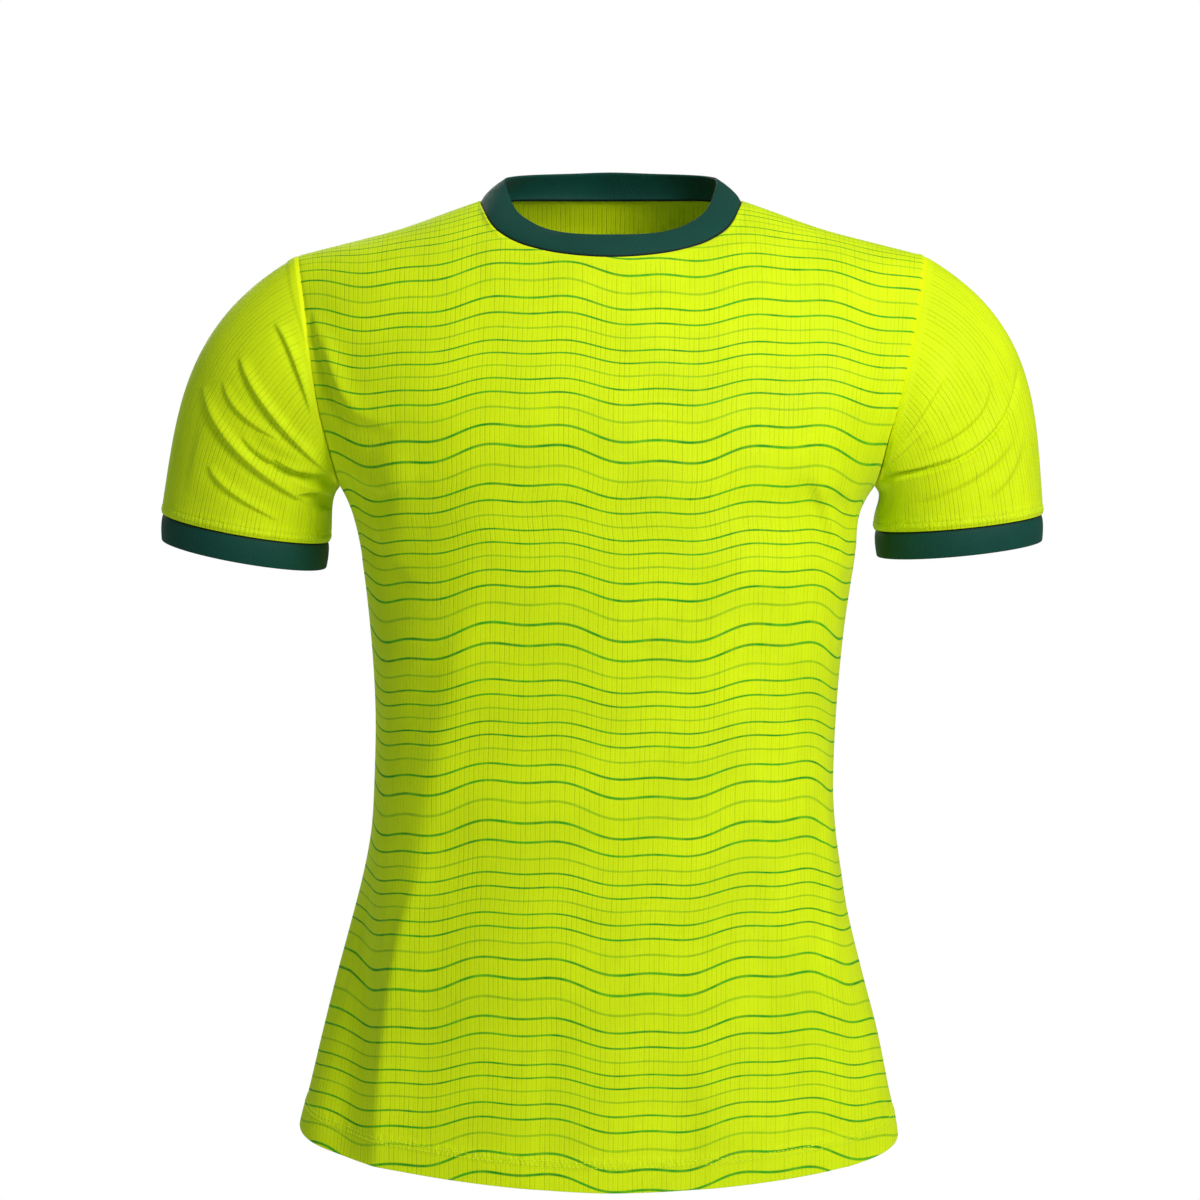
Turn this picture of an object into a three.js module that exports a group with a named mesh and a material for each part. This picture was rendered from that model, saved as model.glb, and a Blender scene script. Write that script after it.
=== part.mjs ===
// Short-sleeved football jersey in the hollow form it has when worn. Millimetres, +Z up.
// The front faces -Y. The origin lies midway between the high points of the two shoulders.
// Left and right are the wearer's own, so the left sleeve lies on the +X side.
import * as THREE from "three";

// Walls and clearances
const KNIT_WALL = 1.6; // single knit of the panels and sleeves
const RIB_WALL = 2.2; // doubled rib of the collar and cuffs
const SEAM_GAP = 0.3; // between two pieces that are sewn together
const SEAM_SPARE = 0.06; // more than that, for the corners between straight faces

// How finely each piece is divided
const TRUNK_ROWS = 16; // hem to underarm
const YOKE_ROWS = 14; // underarm to shoulder, and along half an armhole
const SHOULDER_COLUMNS = 8; // along one shoulder seam
const FRONT_NECK_COLUMNS = 20;
const BACK_NECK_COLUMNS = 16;
const SLEEVE_ROWS = 16; // armhole to hem
const BAND_ROWS = 4; // across the collar and the cuffs
const ROUND_STEPS = 3; // round the free edge of a band
const SIDE_HOLD = 3; // how quickly the rows of points leave the course of the armholes
const FINE_STEPS = 160; // where a length is measured along a curve
const FOLD_STEPS = 20; // where the distance to a fold is measured
const SETTLING_STEPS = 8; // until the height and the width of a point of the yoke agree
const SAME_PLACE = 0.001; // points closer than this are one point

const FRONT = -1;
const BACK = 1;
const RIGHT = -1;
const LEFT = 1;

// Trunk
const UNDERARM_Z = -209.5;
const YOKE_Z = -262; // above this the cloth turns over towards the shoulders
const UNDERARM_DIP = 32; // how far the row of points from underarm to underarm hangs down between
const UNDERARM_DIP_POWER = 8;
const HEM_Z = -703; // lowest point of the front
const BACK_HEM_Z = -700;
const HEM_LOWEST = 0.07; // how far to the left of the middle that lies, as a share of the panel's half
const HEM_RISE_RIGHT = 38; // how far the hem climbs from there to the right side seam
const HEM_RISE_LEFT = 30;
const HEM_POWER = 2.2;
const SHOULDER_POWER = 2.3; // how squarely the cloth turns over to the ridge of the shoulder
const YOKE_SQUARENESS = 2.5;
const NECK_PULL_POWER = 4; // how closely the cloth keeps to the neck seam where that leaves the yoke

// Typical sections, which spread the points evenly: level round the trunk, and upright over a shoulder
const LEVEL_SECTION = { wide: 190, deep: 115, squareness: 2.4 };
const SHOULDER_SECTION = { deep: 95, high: 165 };

// Level sections of the trunk. centre and half are seen from the front; front and back are how far
// the cloth stands from the plane of the side seams; squareness is 2 for an ellipse.
const TRUNK = [
  { z: -730, centre: -9.4, half: 217.5, front: 94, back: 98, squareness: 1.85 },
  { z: -673, centre: -9.3, half: 215.2, front: 95, back: 97, squareness: 1.87 },
  { z: -640, centre: -8.6, half: 208, front: 96, back: 96, squareness: 1.9 },
  { z: -600, centre: -7.9, half: 199.2, front: 98, back: 95, squareness: 1.95 },
  { z: -560, centre: -8.1, half: 189, front: 101, back: 94, squareness: 2.05 },
  { z: -515, centre: -7.5, half: 177.5, front: 104, back: 94, squareness: 2.2 },
  { z: -486, centre: -6.2, half: 171.5, front: 106, back: 95, squareness: 2.3 },
  { z: -457, centre: -5.5, half: 166.8, front: 108, back: 97, squareness: 2.35 },
  { z: -425, centre: -5.3, half: 164.8, front: 110, back: 99, squareness: 2.4 },
  { z: -370, centre: -3.7, half: 165.4, front: 113, back: 103, squareness: 2.45 },
  { z: -313, centre: -2.8, half: 169.8, front: 118, back: 110, squareness: 2.5 },
  { z: -256, centre: -2.1, half: 177.5, front: 122.5, back: 118, squareness: 2.5 },
  { z: -227, centre: -4.1, half: 182.4, front: 124.5, back: 121, squareness: 2.5 },
  { z: -209.5, centre: -2.6, half: 192.1, front: 126, back: 124, squareness: 2.5 },
  { z: -181, centre: -2.6, half: 210, front: 126.5, back: 129, squareness: 2.5 },
  { z: -155, centre: -2.3, half: 224, front: 125.5, back: 132, squareness: 2.5 },
  { z: -125, centre: -1.2, half: 233, front: 122.5, back: 133.5, squareness: 2.5 },
  { z: -80, centre: 0, half: 239, front: 114.5, back: 133, squareness: 2.5 },
  { z: -50, centre: 0, half: 242.5, front: 104, back: 133, squareness: 2.5 },
  { z: -28, centre: 0, half: 244, front: 84, back: 135, squareness: 2.5 },
  { z: -12, centre: 0, half: 245, front: 68, back: 140, squareness: 2.5 },
  { z: 20, centre: 0, half: 246, front: 50, back: 148, squareness: 2.5 },
];

// Ridge of the shoulders seen from the front, by distance from the middle. Within 94 mm of the
// middle it is cut away by the neck opening.
const RIDGE = [
  { x: -60, z: 8.5 },
  { x: 0, z: 20 },
  { x: 60, z: 8.5 },
  { x: 94, z: -4 },
  { x: 112, z: -10.6 },
  { x: 152, z: -25 },
  { x: 190, z: -35 },
  { x: 225.5, z: -44 },
  { x: 250, z: -51 },
];

// Armhole seams, as distances from the middle of the trunk at each height
const ARMHOLE = [
  { z: -209.5, front: 192.1, back: 192.1 },
  { z: -204, front: 193.2, back: 193.6 },
  { z: -181, front: 198, back: 200 },
  { z: -155, front: 204.5, back: 208 },
  { z: -125, front: 210.5, back: 214 },
  { z: -80, front: 218.7, back: 221 },
  { z: -44, front: 225.5, back: 225.5 },
];

// Neck seam and free edge of the collar, from the middle of the back over the high point of the
// left shoulder to the middle of the front. Both are mirrored to the right side.
const NECK = [
  { x: 0, y: 60, z: 3, edgeX: 0, edgeY: 50, edgeZ: 22.5 },
  { x: 38, y: 51.5, z: 2, edgeX: 31.5, edgeY: 46, edgeZ: 21 },
  { x: 70, y: 35.5, z: 0.5, edgeX: 57.5, edgeY: 31, edgeZ: 18.5 },
  { x: 87, y: 19, z: -2.7, edgeX: 71.5, edgeY: 15, edgeZ: 15.5 },
  { x: 94, y: 0, z: -4, edgeX: 76.3, edgeY: -1, edgeZ: 11.5 },
  { x: 91.5, y: -22, z: -13, edgeX: 74.5, edgeY: -14, edgeZ: 2 },
  { x: 83.5, y: -42.5, z: -28, edgeX: 68, edgeY: -31, edgeZ: -12 },
  { x: 60, y: -62, z: -41, edgeX: 47, edgeY: -51, edgeZ: -28.5 },
  { x: 35, y: -72, z: -48.5, edgeX: 28.5, edgeY: -60.5, edgeZ: -33 },
  { x: 0, y: -77, z: -51.5, edgeX: 0, edgeY: -65, edgeZ: -34.4 },
];
const HIGH_POINT_ROW = 4; // the row of NECK at the high point of the shoulder
const COLLAR_CROWN = 1.2; // how far the band bulges between its two edges

// Hem ring of each sleeve: its middle, and its half axes away from the trunk and to the front
const SLEEVES = [
  {
    name: "sleeve_right",
    cuff: "cuff_right",
    side: RIGHT,
    middle: [-264.4, 17, -237.7],
    outward: [-61.1, 0, 10.9],
    forward: [0, -57, -7.5],
  },
  {
    name: "sleeve_left",
    cuff: "cuff_left",
    side: LEFT,
    middle: [251.7, 17, -233.8],
    outward: [61.4, 0, 6.2],
    forward: [0, -57, -6.5],
  },
];

// How the cloth of a sleeve sets off from the armhole, in quarters of the way round it: 0 is the
// underarm, 1 the front, 2 the shoulder and 3 the back. reach is the pull of the hem end.
const SLEEVE_COURSE = [
  { quarter: 0, out: 28, forward: 0, up: -20, reach: 45 },
  { quarter: 0.5, out: 48, forward: 4, up: -50, reach: 85 },
  { quarter: 1, out: 88, forward: 14, up: -68, reach: 130 },
  { quarter: 1.5, out: 180, forward: 30, up: -70, reach: 180 },
  { quarter: 2, out: 254, forward: 0, up: -146, reach: 210 },
  { quarter: 2.5, out: 180, forward: -34, up: -70, reach: 180 },
  { quarter: 3, out: 88, forward: -22, up: -68, reach: 130 },
  { quarter: 3.5, out: 48, forward: -6, up: -50, reach: 85 },
];

// Cuff bands
const CUFF_HEIGHT = 20;
const CUFF_INSET = 1.2; // the band lies this far inside the sleeve's outer face
const CUFF_TAPER = 1; // and draws in this much more at its free edge

// Largest folds, each along a bent line as seen from the front, as [x, z] places. A trough has a
// negative depth. width is from the middle of the fold to where it has nearly run out.
const FOLDS = [
  {
    piece: "sleeve_right",
    face: FRONT,
    lines: [
      { from: [-264, -120], past: [-256, -154], to: [-203, -200], width: 12, depth: -3.4 },
      { from: [-292, -140], past: [-278, -189], to: [-220, -222], width: 13, depth: -3.2 },
      { from: [-283, -202], past: [-258, -222], to: [-236, -233], width: 9, depth: -1.6 },
    ],
  },
  {
    piece: "sleeve_right",
    face: BACK,
    lines: [
      { from: [-244, -104], past: [-228, -152], to: [-204, -192], width: 12, depth: -3 },
      { from: [-288, -150], past: [-256, -190], to: [-216, -208], width: 12, depth: -2.6 },
    ],
  },
  {
    piece: "sleeve_left",
    face: FRONT,
    lines: [
      { from: [289, -132], past: [297, -191], to: [192, -205], width: 13, depth: -4 },
      { from: [267, -138], past: [268, -164], to: [230, -183], width: 10, depth: -2.4 },
    ],
  },
  {
    piece: "sleeve_left",
    face: BACK,
    lines: [
      { from: [284, -140], past: [254, -182], to: [208, -204], width: 12, depth: -3 },
      { from: [240, -100], past: [226, -150], to: [204, -190], width: 12, depth: -2.6 },
    ],
  },
  {
    piece: "front",
    face: FRONT,
    lines: [
      { from: [-176, -470], past: [-186, -590], to: [-196, -760], width: 26, depth: -8 },
      { from: [-88, -270], past: [-145, -480], to: [-170, -760], width: 22, depth: 3.5 },
      { from: [151, -440], past: [155, -590], to: [172, -760], width: 16, depth: -3.5 },
      { from: [76, -350], past: [118, -480], to: [150, -680], width: 22, depth: 2.5 },
      { from: [-196, -98], past: [-186, -130], to: [-168, -170], width: 16, depth: -2.5 },
    ],
  },
  {
    piece: "back",
    face: BACK,
    lines: [
      { from: [-150, -470], past: [-152, -590], to: [-158, -760], width: 24, depth: -7 },
      { from: [140, -450], past: [147, -590], to: [152, -760], width: 24, depth: -7 },
      { from: [-20, -330], past: [-12, -430], to: [6, -540], width: 36, depth: -6 },
    ],
  },
];
const FOLD_NARROWING = 1.5; // of the bell-shaped profile inside that width
const FOLD_END_POWER = 0.6; // how suddenly a fold begins and ends along its line
const FOLD_TURN = 3; // folds run out where the cloth faces the side by more than one part in this
const FOLD_FADE = 0.12; // share of a piece over which folds run out towards a seam

// Colours as lit by daylight
const YELLOW_GREEN = 0xcfee1c;
const DARK_GREEN = 0x1a4038;
const KNIT_ROUGHNESS = 0.75;
const RIB_ROUGHNESS = 0.85;

// Smooth curve through one column of a table against another, level beyond its ends
function follow(rows, key, column) {
  const places = rows.map((row) => row[key]);
  const values = rows.map((row) => row[column]);
  const last = rows.length - 1;
  const slopes = values.map((_, i) => {
    const before = Math.max(i - 1, 0);
    const after = Math.min(i + 1, last);
    return (values[after] - values[before]) / (places[after] - places[before]);
  });
  return (wanted) => {
    const place = THREE.MathUtils.clamp(wanted, places[0], places[last]);
    let i = 0;
    while (i < last - 1 && place > places[i + 1]) i += 1;
    const span = places[i + 1] - places[i];
    const t = (place - places[i]) / span;
    const rest = 1 - t;
    return (
      values[i] * (1 + 2 * t) * rest * rest +
      slopes[i] * span * t * rest * rest +
      values[i + 1] * t * t * (3 - 2 * t) -
      slopes[i + 1] * span * t * t * rest
    );
  };
}

// Quarter of a superellipse: its angle by the share of its length, and the other way round
function quarterArc(across, along, power) {
  const rows = [{ angle: 0, length: 0 }];
  let before = [across, 0];
  for (let i = 1; i <= FINE_STEPS; i += 1) {
    const angle = (Math.PI / 2) * (i / FINE_STEPS);
    const x = across * Math.cos(angle) ** (2 / power);
    const y = along * Math.sin(angle) ** (2 / power);
    rows.push({ angle, length: rows[i - 1].length + Math.hypot(x - before[0], y - before[1]) });
    before = [x, y];
  }
  const whole = rows[FINE_STEPS].length;
  for (const row of rows) row.share = row.length / whole;
  return { angleAt: follow(rows, "share", "angle"), shareAt: follow(rows, "angle", "share") };
}

const trunkCentre = follow(TRUNK, "z", "centre");
const trunkHalf = follow(TRUNK, "z", "half");
const trunkSquareness = follow(TRUNK, "z", "squareness");
const trunkDepth = {
  [FRONT]: follow(TRUNK, "z", "front"),
  [BACK]: follow(TRUNK, "z", "back"),
};
const ridgeHeight = follow(RIDGE, "x", "z");
const armholeHalf = {
  [FRONT]: follow(ARMHOLE, "z", "front"),
  [BACK]: follow(ARMHOLE, "z", "back"),
};
const roundTrunk = quarterArc(LEVEL_SECTION.wide, LEVEL_SECTION.deep, LEVEL_SECTION.squareness);
const overShoulder = quarterArc(SHOULDER_SECTION.deep, SHOULDER_SECTION.high, SHOULDER_POWER);

// How far the cloth has closed in over the shoulder at a share of the way up to the ridge
function closing(rise) {
  return (1 - THREE.MathUtils.clamp(rise, 0, 1) ** SHOULDER_POWER) ** (1 / SHOULDER_POWER);
}

const riseAt = (x, z) => (z - YOKE_Z) / (ridgeHeight(Math.abs(x)) - YOKE_Z);

// A point of the trunk at a height. across runs from -1 at the right side seam to 1 at the left one.
function trunkPoint(face, across, z) {
  const angle = roundTrunk.angleAt(1 - Math.abs(across));
  const power = 2 / trunkSquareness(z);
  const x = trunkCentre(z) + Math.sign(across) * trunkHalf(z) * Math.cos(angle) ** power;
  const deep = Math.sin(angle) ** power;
  return new THREE.Vector3(x, face * trunkDepth[face](z) * deep * closing(riseAt(x, z)), z);
}

// A point of the yoke. up runs from 0 at its lower limit to 1 on the ridge of the shoulder.
function yokePoint(face, across, up) {
  const angle = roundTrunk.angleAt(1 - Math.abs(across));
  const wide = Math.cos(angle) ** (2 / YOKE_SQUARENESS);
  const rise = Math.sin(overShoulder.angleAt(up)) ** (2 / SHOULDER_POWER);
  let x = Math.sign(across) * wide * trunkHalf(0);
  let z = YOKE_Z;
  for (let i = 0; i < SETTLING_STEPS; i += 1) {
    z = YOKE_Z + (ridgeHeight(Math.abs(x)) - YOKE_Z) * rise;
    x = trunkCentre(z) + Math.sign(across) * wide * trunkHalf(z);
  }
  const deep = Math.sin(angle) ** (2 / YOKE_SQUARENESS);
  return new THREE.Vector3(x, face * trunkDepth[face](z) * deep * closing(rise), z);
}

// The across and up of a point of the yoke, from where it is seen from the front
function yokePlace(x, z) {
  const turn = Math.asin(THREE.MathUtils.clamp(riseAt(x, z), 0, 1) ** (SHOULDER_POWER / 2));
  const offset = x - trunkCentre(z);
  const wide = THREE.MathUtils.clamp(Math.abs(offset) / trunkHalf(z), 0, 1);
  const angle = Math.acos(wide ** (YOKE_SQUARENESS / 2));
  const across = Math.sign(offset) * (1 - roundTrunk.shareAt(angle));
  return { across, up: overShoulder.shareAt(turn) };
}

// Evenly spaced stations along a curve that is given by a function of 0 to 1
function evenly(pointAt, count) {
  const rows = [{ share: 0, run: 0 }];
  let before = pointAt(0);
  for (let i = 1; i <= FINE_STEPS; i += 1) {
    const point = pointAt(i / FINE_STEPS);
    rows.push({ share: i / FINE_STEPS, run: rows[i - 1].run + point.distanceTo(before) });
    before = point;
  }
  const shareAt = follow(rows, "run", "share");
  const whole = rows[FINE_STEPS].run;
  return Array.from({ length: count + 1 }, (_, i) => shareAt((whole * i) / count));
}

// Half of an armhole as yoke places, from the underarm to the shoulder
function armholePlace(face, side, share) {
  const rise = Math.sin(overShoulder.angleAt(share)) ** (2 / SHOULDER_POWER);
  const top = ARMHOLE[ARMHOLE.length - 1].z;
  const z = UNDERARM_Z + (top - UNDERARM_Z) * rise;
  const place = yokePlace(trunkCentre(z) + side * armholeHalf[face](z), z);
  if (share === 0) return { ...place, across: side };
  return share === 1 ? { ...place, up: 1 } : place;
}

function armhole(face, side) {
  const pointAt = (share) => {
    const place = armholePlace(face, side, share);
    return yokePoint(face, place.across, place.up);
  };
  return evenly(pointAt, YOKE_ROWS).map((share) => armholePlace(face, side, share));
}

// The neck seam and the collar's edge as one loop: right high point, front, left high point, back
function neckLoop() {
  const mirrored = (row) => ({ ...row, x: -row.x, edgeX: -row.edgeX });
  const front = NECK.slice(HIGH_POINT_ROW);
  const back = NECK.slice(0, HIGH_POINT_ROW + 1);
  const rows = [
    ...front.map(mirrored),
    ...front.slice(0, -1).reverse(),
    ...back.slice(0, -1).reverse(),
    ...back.slice(1, -1).map(mirrored),
  ];
  const count = rows.length;
  const far = (a, b) => Math.hypot(a.x - b.x, a.y - b.y, a.z - b.z);
  const runs = [0];
  for (let i = 0; i < count; i += 1) runs.push(runs[i] + far(rows[i], rows[(i + 1) % count]));
  const whole = runs[count];
  const around = [];
  for (let i = -2; i <= count + 2; i += 1) {
    const lap = Math.floor(i / count);
    const row = rows[i - lap * count];
    around.push({ ...row, run: runs[i - lap * count] + lap * whole });
  }
  const names = ["x", "y", "z", "edgeX", "edgeY", "edgeZ"];
  const columns = names.map((name) => follow(around, "run", name));
  const at = (run) => {
    const [x, y, z, edgeX, edgeY, edgeZ] = columns.map((column) => column(run));
    return { seam: new THREE.Vector3(x, y, z), edge: new THREE.Vector3(edgeX, edgeY, edgeZ) };
  };
  return { at, frontRun: runs[2 * (front.length - 1)], whole };
}

const neck = neckLoop();

// Stations of the neck seam from the right shoulder to the left one
function neckStations(face) {
  const from = face === FRONT ? 0 : neck.whole;
  const columns = face === FRONT ? FRONT_NECK_COLUMNS : BACK_NECK_COLUMNS;
  const runAt = (share) => THREE.MathUtils.lerp(from, neck.frontRun, share);
  const shares = evenly((share) => neck.at(runAt(share)).seam, columns);
  return shares.map((share) => neck.at(runAt(share)));
}

// Top edge of a panel: right shoulder seam, neck seam, left shoulder seam
function topEdge(face) {
  const shoulderX = ARMHOLE[ARMHOLE.length - 1].front;
  const highX = NECK[HIGH_POINT_ROW].x;
  const shoulder = Array.from({ length: SHOULDER_COLUMNS }, (_, i) => {
    const x = THREE.MathUtils.lerp(shoulderX, highX, i / SHOULDER_COLUMNS);
    return { place: { ...yokePlace(x, ridgeHeight(x)), up: 1 }, seam: null };
  });
  const mirrored = shoulder.map(({ place }) => {
    return { place: { ...place, across: -place.across }, seam: null };
  });
  const collarLine = neckStations(face).map(({ seam }) => {
    return { place: yokePlace(seam.x, seam.z), seam };
  });
  return [...mirrored, ...collarLine, ...shoulder.reverse()];
}

function hemHeight(face, across) {
  const middle = face === FRONT ? HEM_Z : BACK_HEM_Z;
  const toTheRight = across < HEM_LOWEST;
  const side = HEM_Z + (toTheRight ? HEM_RISE_RIGHT : HEM_RISE_LEFT);
  const share = toTheRight
    ? (HEM_LOWEST - across) / (HEM_LOWEST + 1)
    : (across - HEM_LOWEST) / (1 - HEM_LOWEST);
  return THREE.MathUtils.lerp(middle, side, share ** HEM_POWER);
}

// Outer points of a panel, row by row from the hem to the shoulders and neck
function panelPoints(face) {
  const top = topEdge(face);
  const columns = top.length - 1;
  const acrossAt = (i) => -1 + (2 * i) / columns;
  const dipAt = (i) => UNDERARM_DIP * (1 - Math.abs(acrossAt(i)) ** UNDERARM_DIP_POWER);
  const chestPoint = (i) => trunkPoint(face, acrossAt(i), UNDERARM_Z - dipAt(i));
  const rows = [];
  for (let j = 0; j < TRUNK_ROWS; j += 1) {
    const points = top.map((_, i) => {
      const hemZ = hemHeight(face, acrossAt(i));
      const z = THREE.MathUtils.lerp(hemZ, UNDERARM_Z - dipAt(i), j / TRUNK_ROWS);
      return trunkPoint(face, acrossAt(i), z);
    });
    rows.push(points);
  }
  const chest = top.map((_, i) => yokePlace(chestPoint(i).x, chestPoint(i).z));
  chest[0].across = RIGHT;
  chest[columns].across = LEFT;
  const sides = [armhole(face, RIGHT), armhole(face, LEFT)];
  for (let j = 0; j <= YOKE_ROWS; j += 1) {
    const v = j / YOKE_ROWS;
    const points = top.map((above, i) => {
      if (j === 0) return chestPoint(i);
      const u = i / columns;
      const [right, left] = sides;
      const blend = (name) => {
        const upright = THREE.MathUtils.lerp(chest[i][name], above.place[name], v);
        const straightRight = THREE.MathUtils.lerp(right[0][name], top[0].place[name], v);
        const straightLeft = THREE.MathUtils.lerp(left[0][name], top[columns].place[name], v);
        return (
          upright +
          (1 - u) ** SIDE_HOLD * (right[j][name] - straightRight) +
          u ** SIDE_HOLD * (left[j][name] - straightLeft)
        );
      };
      const point = yokePoint(face, blend("across"), blend("up"));
      if (!above.seam) return point;
      const atTop = yokePoint(face, above.place.across, above.place.up);
      return point.addScaledVector(above.seam.clone().sub(atTop), v ** NECK_PULL_POWER);
    });
    rows.push(points);
  }
  return rows;
}

// Loop of points round an armhole: underarm, front, shoulder, back
function armholeLoop(panels, side) {
  const edge = (rows) => rows.slice(TRUNK_ROWS).map((row) => row.at(side === RIGHT ? 0 : -1));
  const front = edge(panels[FRONT]);
  const back = edge(panels[BACK]);
  return [...front, ...back.slice(1, -1).reverse()];
}

// Rows of outer points of a sleeve, each a closed loop, from the armhole to the hem
function sleevePoints(sleeve, panels) {
  const start = armholeLoop(panels, sleeve.side);
  const middle = new THREE.Vector3(...sleeve.middle);
  const outward = new THREE.Vector3(...sleeve.outward);
  const forward = new THREE.Vector3(...sleeve.forward);
  const down = outward.clone().cross(forward).normalize().multiplyScalar(sleeve.side);
  const last = SLEEVE_COURSE[SLEEVE_COURSE.length - 1];
  const course = [
    { ...last, quarter: last.quarter - 4 },
    ...SLEEVE_COURSE,
    { ...SLEEVE_COURSE[0], quarter: 4 },
    { ...SLEEVE_COURSE[1], quarter: 4 + SLEEVE_COURSE[1].quarter },
  ];
  const columns = ["out", "forward", "up", "reach"];
  const [out, ahead, up, reach] = columns.map((name) => follow(course, "quarter", name));
  const rows = [];
  for (let j = 0; j <= SLEEVE_ROWS; j += 1) {
    const t = j / SLEEVE_ROWS;
    const points = start.map((from, i) => {
      const quarter = (4 * i) / start.length;
      const angle = (quarter * Math.PI) / 2;
      const to = middle
        .clone()
        .addScaledVector(outward, -Math.cos(angle))
        .addScaledVector(forward, Math.sin(angle));
      const leave = new THREE.Vector3(sleeve.side * out(quarter), -ahead(quarter), up(quarter));
      const arrive = down.clone().multiplyScalar(reach(quarter));
      return new THREE.Vector3()
        .addScaledVector(from, (1 + 2 * t) * (1 - t) ** 2)
        .addScaledVector(leave, t * (1 - t) ** 2)
        .addScaledVector(to, t * t * (3 - 2 * t))
        .addScaledVector(arrive, -t * t * (1 - t));
    });
    rows.push(points);
  }
  return { rows, down };
}

// Outward normals of a net of points; a closed net's rows are loops
function normalsOf(rows, closed) {
  const count = rows[0].length;
  return rows.map((row, j) =>
    row.map((_, i) => {
      const before = closed ? (i + count - 1) % count : Math.max(i - 1, 0);
      const after = closed ? (i + 1) % count : Math.min(i + 1, count - 1);
      const along = row[after].clone().sub(row[before]);
      const above = rows[Math.min(j + 1, rows.length - 1)][i];
      const below = rows[Math.max(j - 1, 0)][i];
      return along.cross(above.clone().sub(below)).normalize();
    }),
  );
}

// Place of a fold's line at a share of its length, and its distance from a point
function foldDistance(line, t, point) {
  const bend = (k) => line.from[k] * (1 - t) ** 2 + 2 * line.past[k] * t * (1 - t) + line.to[k] * t * t;
  return Math.hypot(point.x - bend(0), point.z - bend(1));
}

// Depth of one fold at a point
function lineDepth(line, point) {
  let nearest = Infinity;
  let along = 0;
  for (let i = 0; i <= FOLD_STEPS; i += 1) {
    const distance = foldDistance(line, i / FOLD_STEPS, point);
    if (distance < nearest) {
      nearest = distance;
      along = i / FOLD_STEPS;
    }
  }
  const profile = Math.exp(-(((FOLD_NARROWING * nearest) / line.width) ** 2));
  const ends = Math.max(Math.sin(Math.PI * along), 0) ** FOLD_END_POWER;
  return line.depth * profile * ends;
}

// Moves the points of a piece along their normals by its folds, which run out at its seams
function pressFolds(piece, rows, normals, fadeAt) {
  rows.forEach((row, j) =>
    row.forEach((point, i) => {
      const normal = normals[j][i];
      const face = normal.y < 0 ? FRONT : BACK;
      const lines = FOLDS.filter((group) => group.piece === piece && group.face === face).flatMap(
        (group) => group.lines,
      );
      const depth = lines.reduce((sum, line) => sum + lineDepth(line, point), 0);
      const facing = Math.min(1, Math.abs(normal.y) * FOLD_TURN);
      const shown = facing * fadeAt(i / (row.length - 1), j / (rows.length - 1));
      point.addScaledVector(normal, depth * shown);
    }),
  );
}

const fade = (share) => THREE.MathUtils.smoothstep(Math.min(share, 1 - share), 0, FOLD_FADE);
const fadeAbove = (share) => THREE.MathUtils.smoothstep(1 - share, 0, FOLD_FADE);

// Gives the points that pieces share along a seam one normal, so that their edges lie parallel.
// The two panels together weigh as much as the sleeve or collar that meets them.
function shareNormals(nets) {
  const sums = new Map();
  const keyOf = (point) => point.toArray().map((value) => Math.round(value / SAME_PLACE)).join();
  const each = (visit) => {
    for (const { rows, normals, trunk } of nets) {
      const kind = trunk ? 0 : 1;
      rows.forEach((row, j) => row.forEach((point, i) => visit(point, normals[j][i], kind)));
    }
  };
  each((point, normal, kind) => {
    const key = keyOf(point);
    if (!sums.has(key)) sums.set(key, [new THREE.Vector3(), new THREE.Vector3()]);
    sums.get(key)[kind].add(normal);
  });
  each((point, normal) => {
    const [trunk, other] = sums.get(keyOf(point)).map((sum) => sum.clone().normalize());
    normal.copy(trunk.add(other)).normalize();
  });
}

// The edge of a net as loops of points, each with the nearest point inside the net
function edgeLoops(rows, closed) {
  const lastRow = rows.length - 1;
  const count = rows[0].length;
  const inward = (value, last) => THREE.MathUtils.clamp(value, 1, last - 1);
  const columns = Array.from({ length: count }, (_, i) => i);
  if (closed) {
    return [0, lastRow].map((j) =>
      columns.map((i) => ({ point: rows[j][i], inside: rows[inward(j, lastRow)][i] })),
    );
  }
  const between = rows.slice(1, -1).map((_, j) => j + 1);
  const places = [
    ...columns.map((i) => [0, i]),
    ...between.map((j) => [j, count - 1]),
    ...columns.map((i) => [lastRow, count - 1 - i]),
    ...between.map((j) => [lastRow - j, 0]),
  ];
  const loop = places.map(([j, i]) => ({
    point: rows[j][i],
    inside: rows[inward(j, lastRow)][inward(i, count - 1)],
  }));
  return [loop];
}

// Draws the edge of a net back from its seams by half a gap, square to the edge on both sides of
// each of its points
function openSeams(rows, closed) {
  const halfGap = (SEAM_GAP + SEAM_SPARE) / 2;
  for (const loop of edgeLoops(rows, closed)) {
    const moves = loop.map(({ point, inside }, k) => {
      const next = [loop[(k + loop.length - 1) % loop.length], loop[(k + 1) % loop.length]];
      const [first, second] = next.map((other) => {
        const along = other.point.clone().sub(point).normalize();
        const across = inside.clone().sub(point);
        return across.addScaledVector(along, -across.dot(along)).normalize();
      });
      return first.clone().add(second).multiplyScalar(halfGap / (1 + first.dot(second)));
    });
    loop.forEach(({ point }, k) => point.add(moves[k]));
  }
}

// Closed mesh from a list of points and the quads between them, with its faces turned outwards
function solid(name, points, quads, color, roughness) {
  const index = quads.flatMap(([a, b, c, d]) => [a, b, c, a, c, d]);
  let volume = 0;
  for (let i = 0; i < index.length; i += 3) {
    const [a, b, c] = [points[index[i]], points[index[i + 1]], points[index[i + 2]]];
    volume += a.dot(b.clone().cross(c));
  }
  if (volume < 0) index.reverse();
  const geometry = new THREE.BufferGeometry().setFromPoints(points);
  geometry.setIndex(index);
  geometry.computeVertexNormals();
  const material = new THREE.MeshStandardMaterial({ color, roughness, metalness: 0 });
  const mesh = new THREE.Mesh(geometry, material);
  mesh.name = name;
  return mesh;
}

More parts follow.
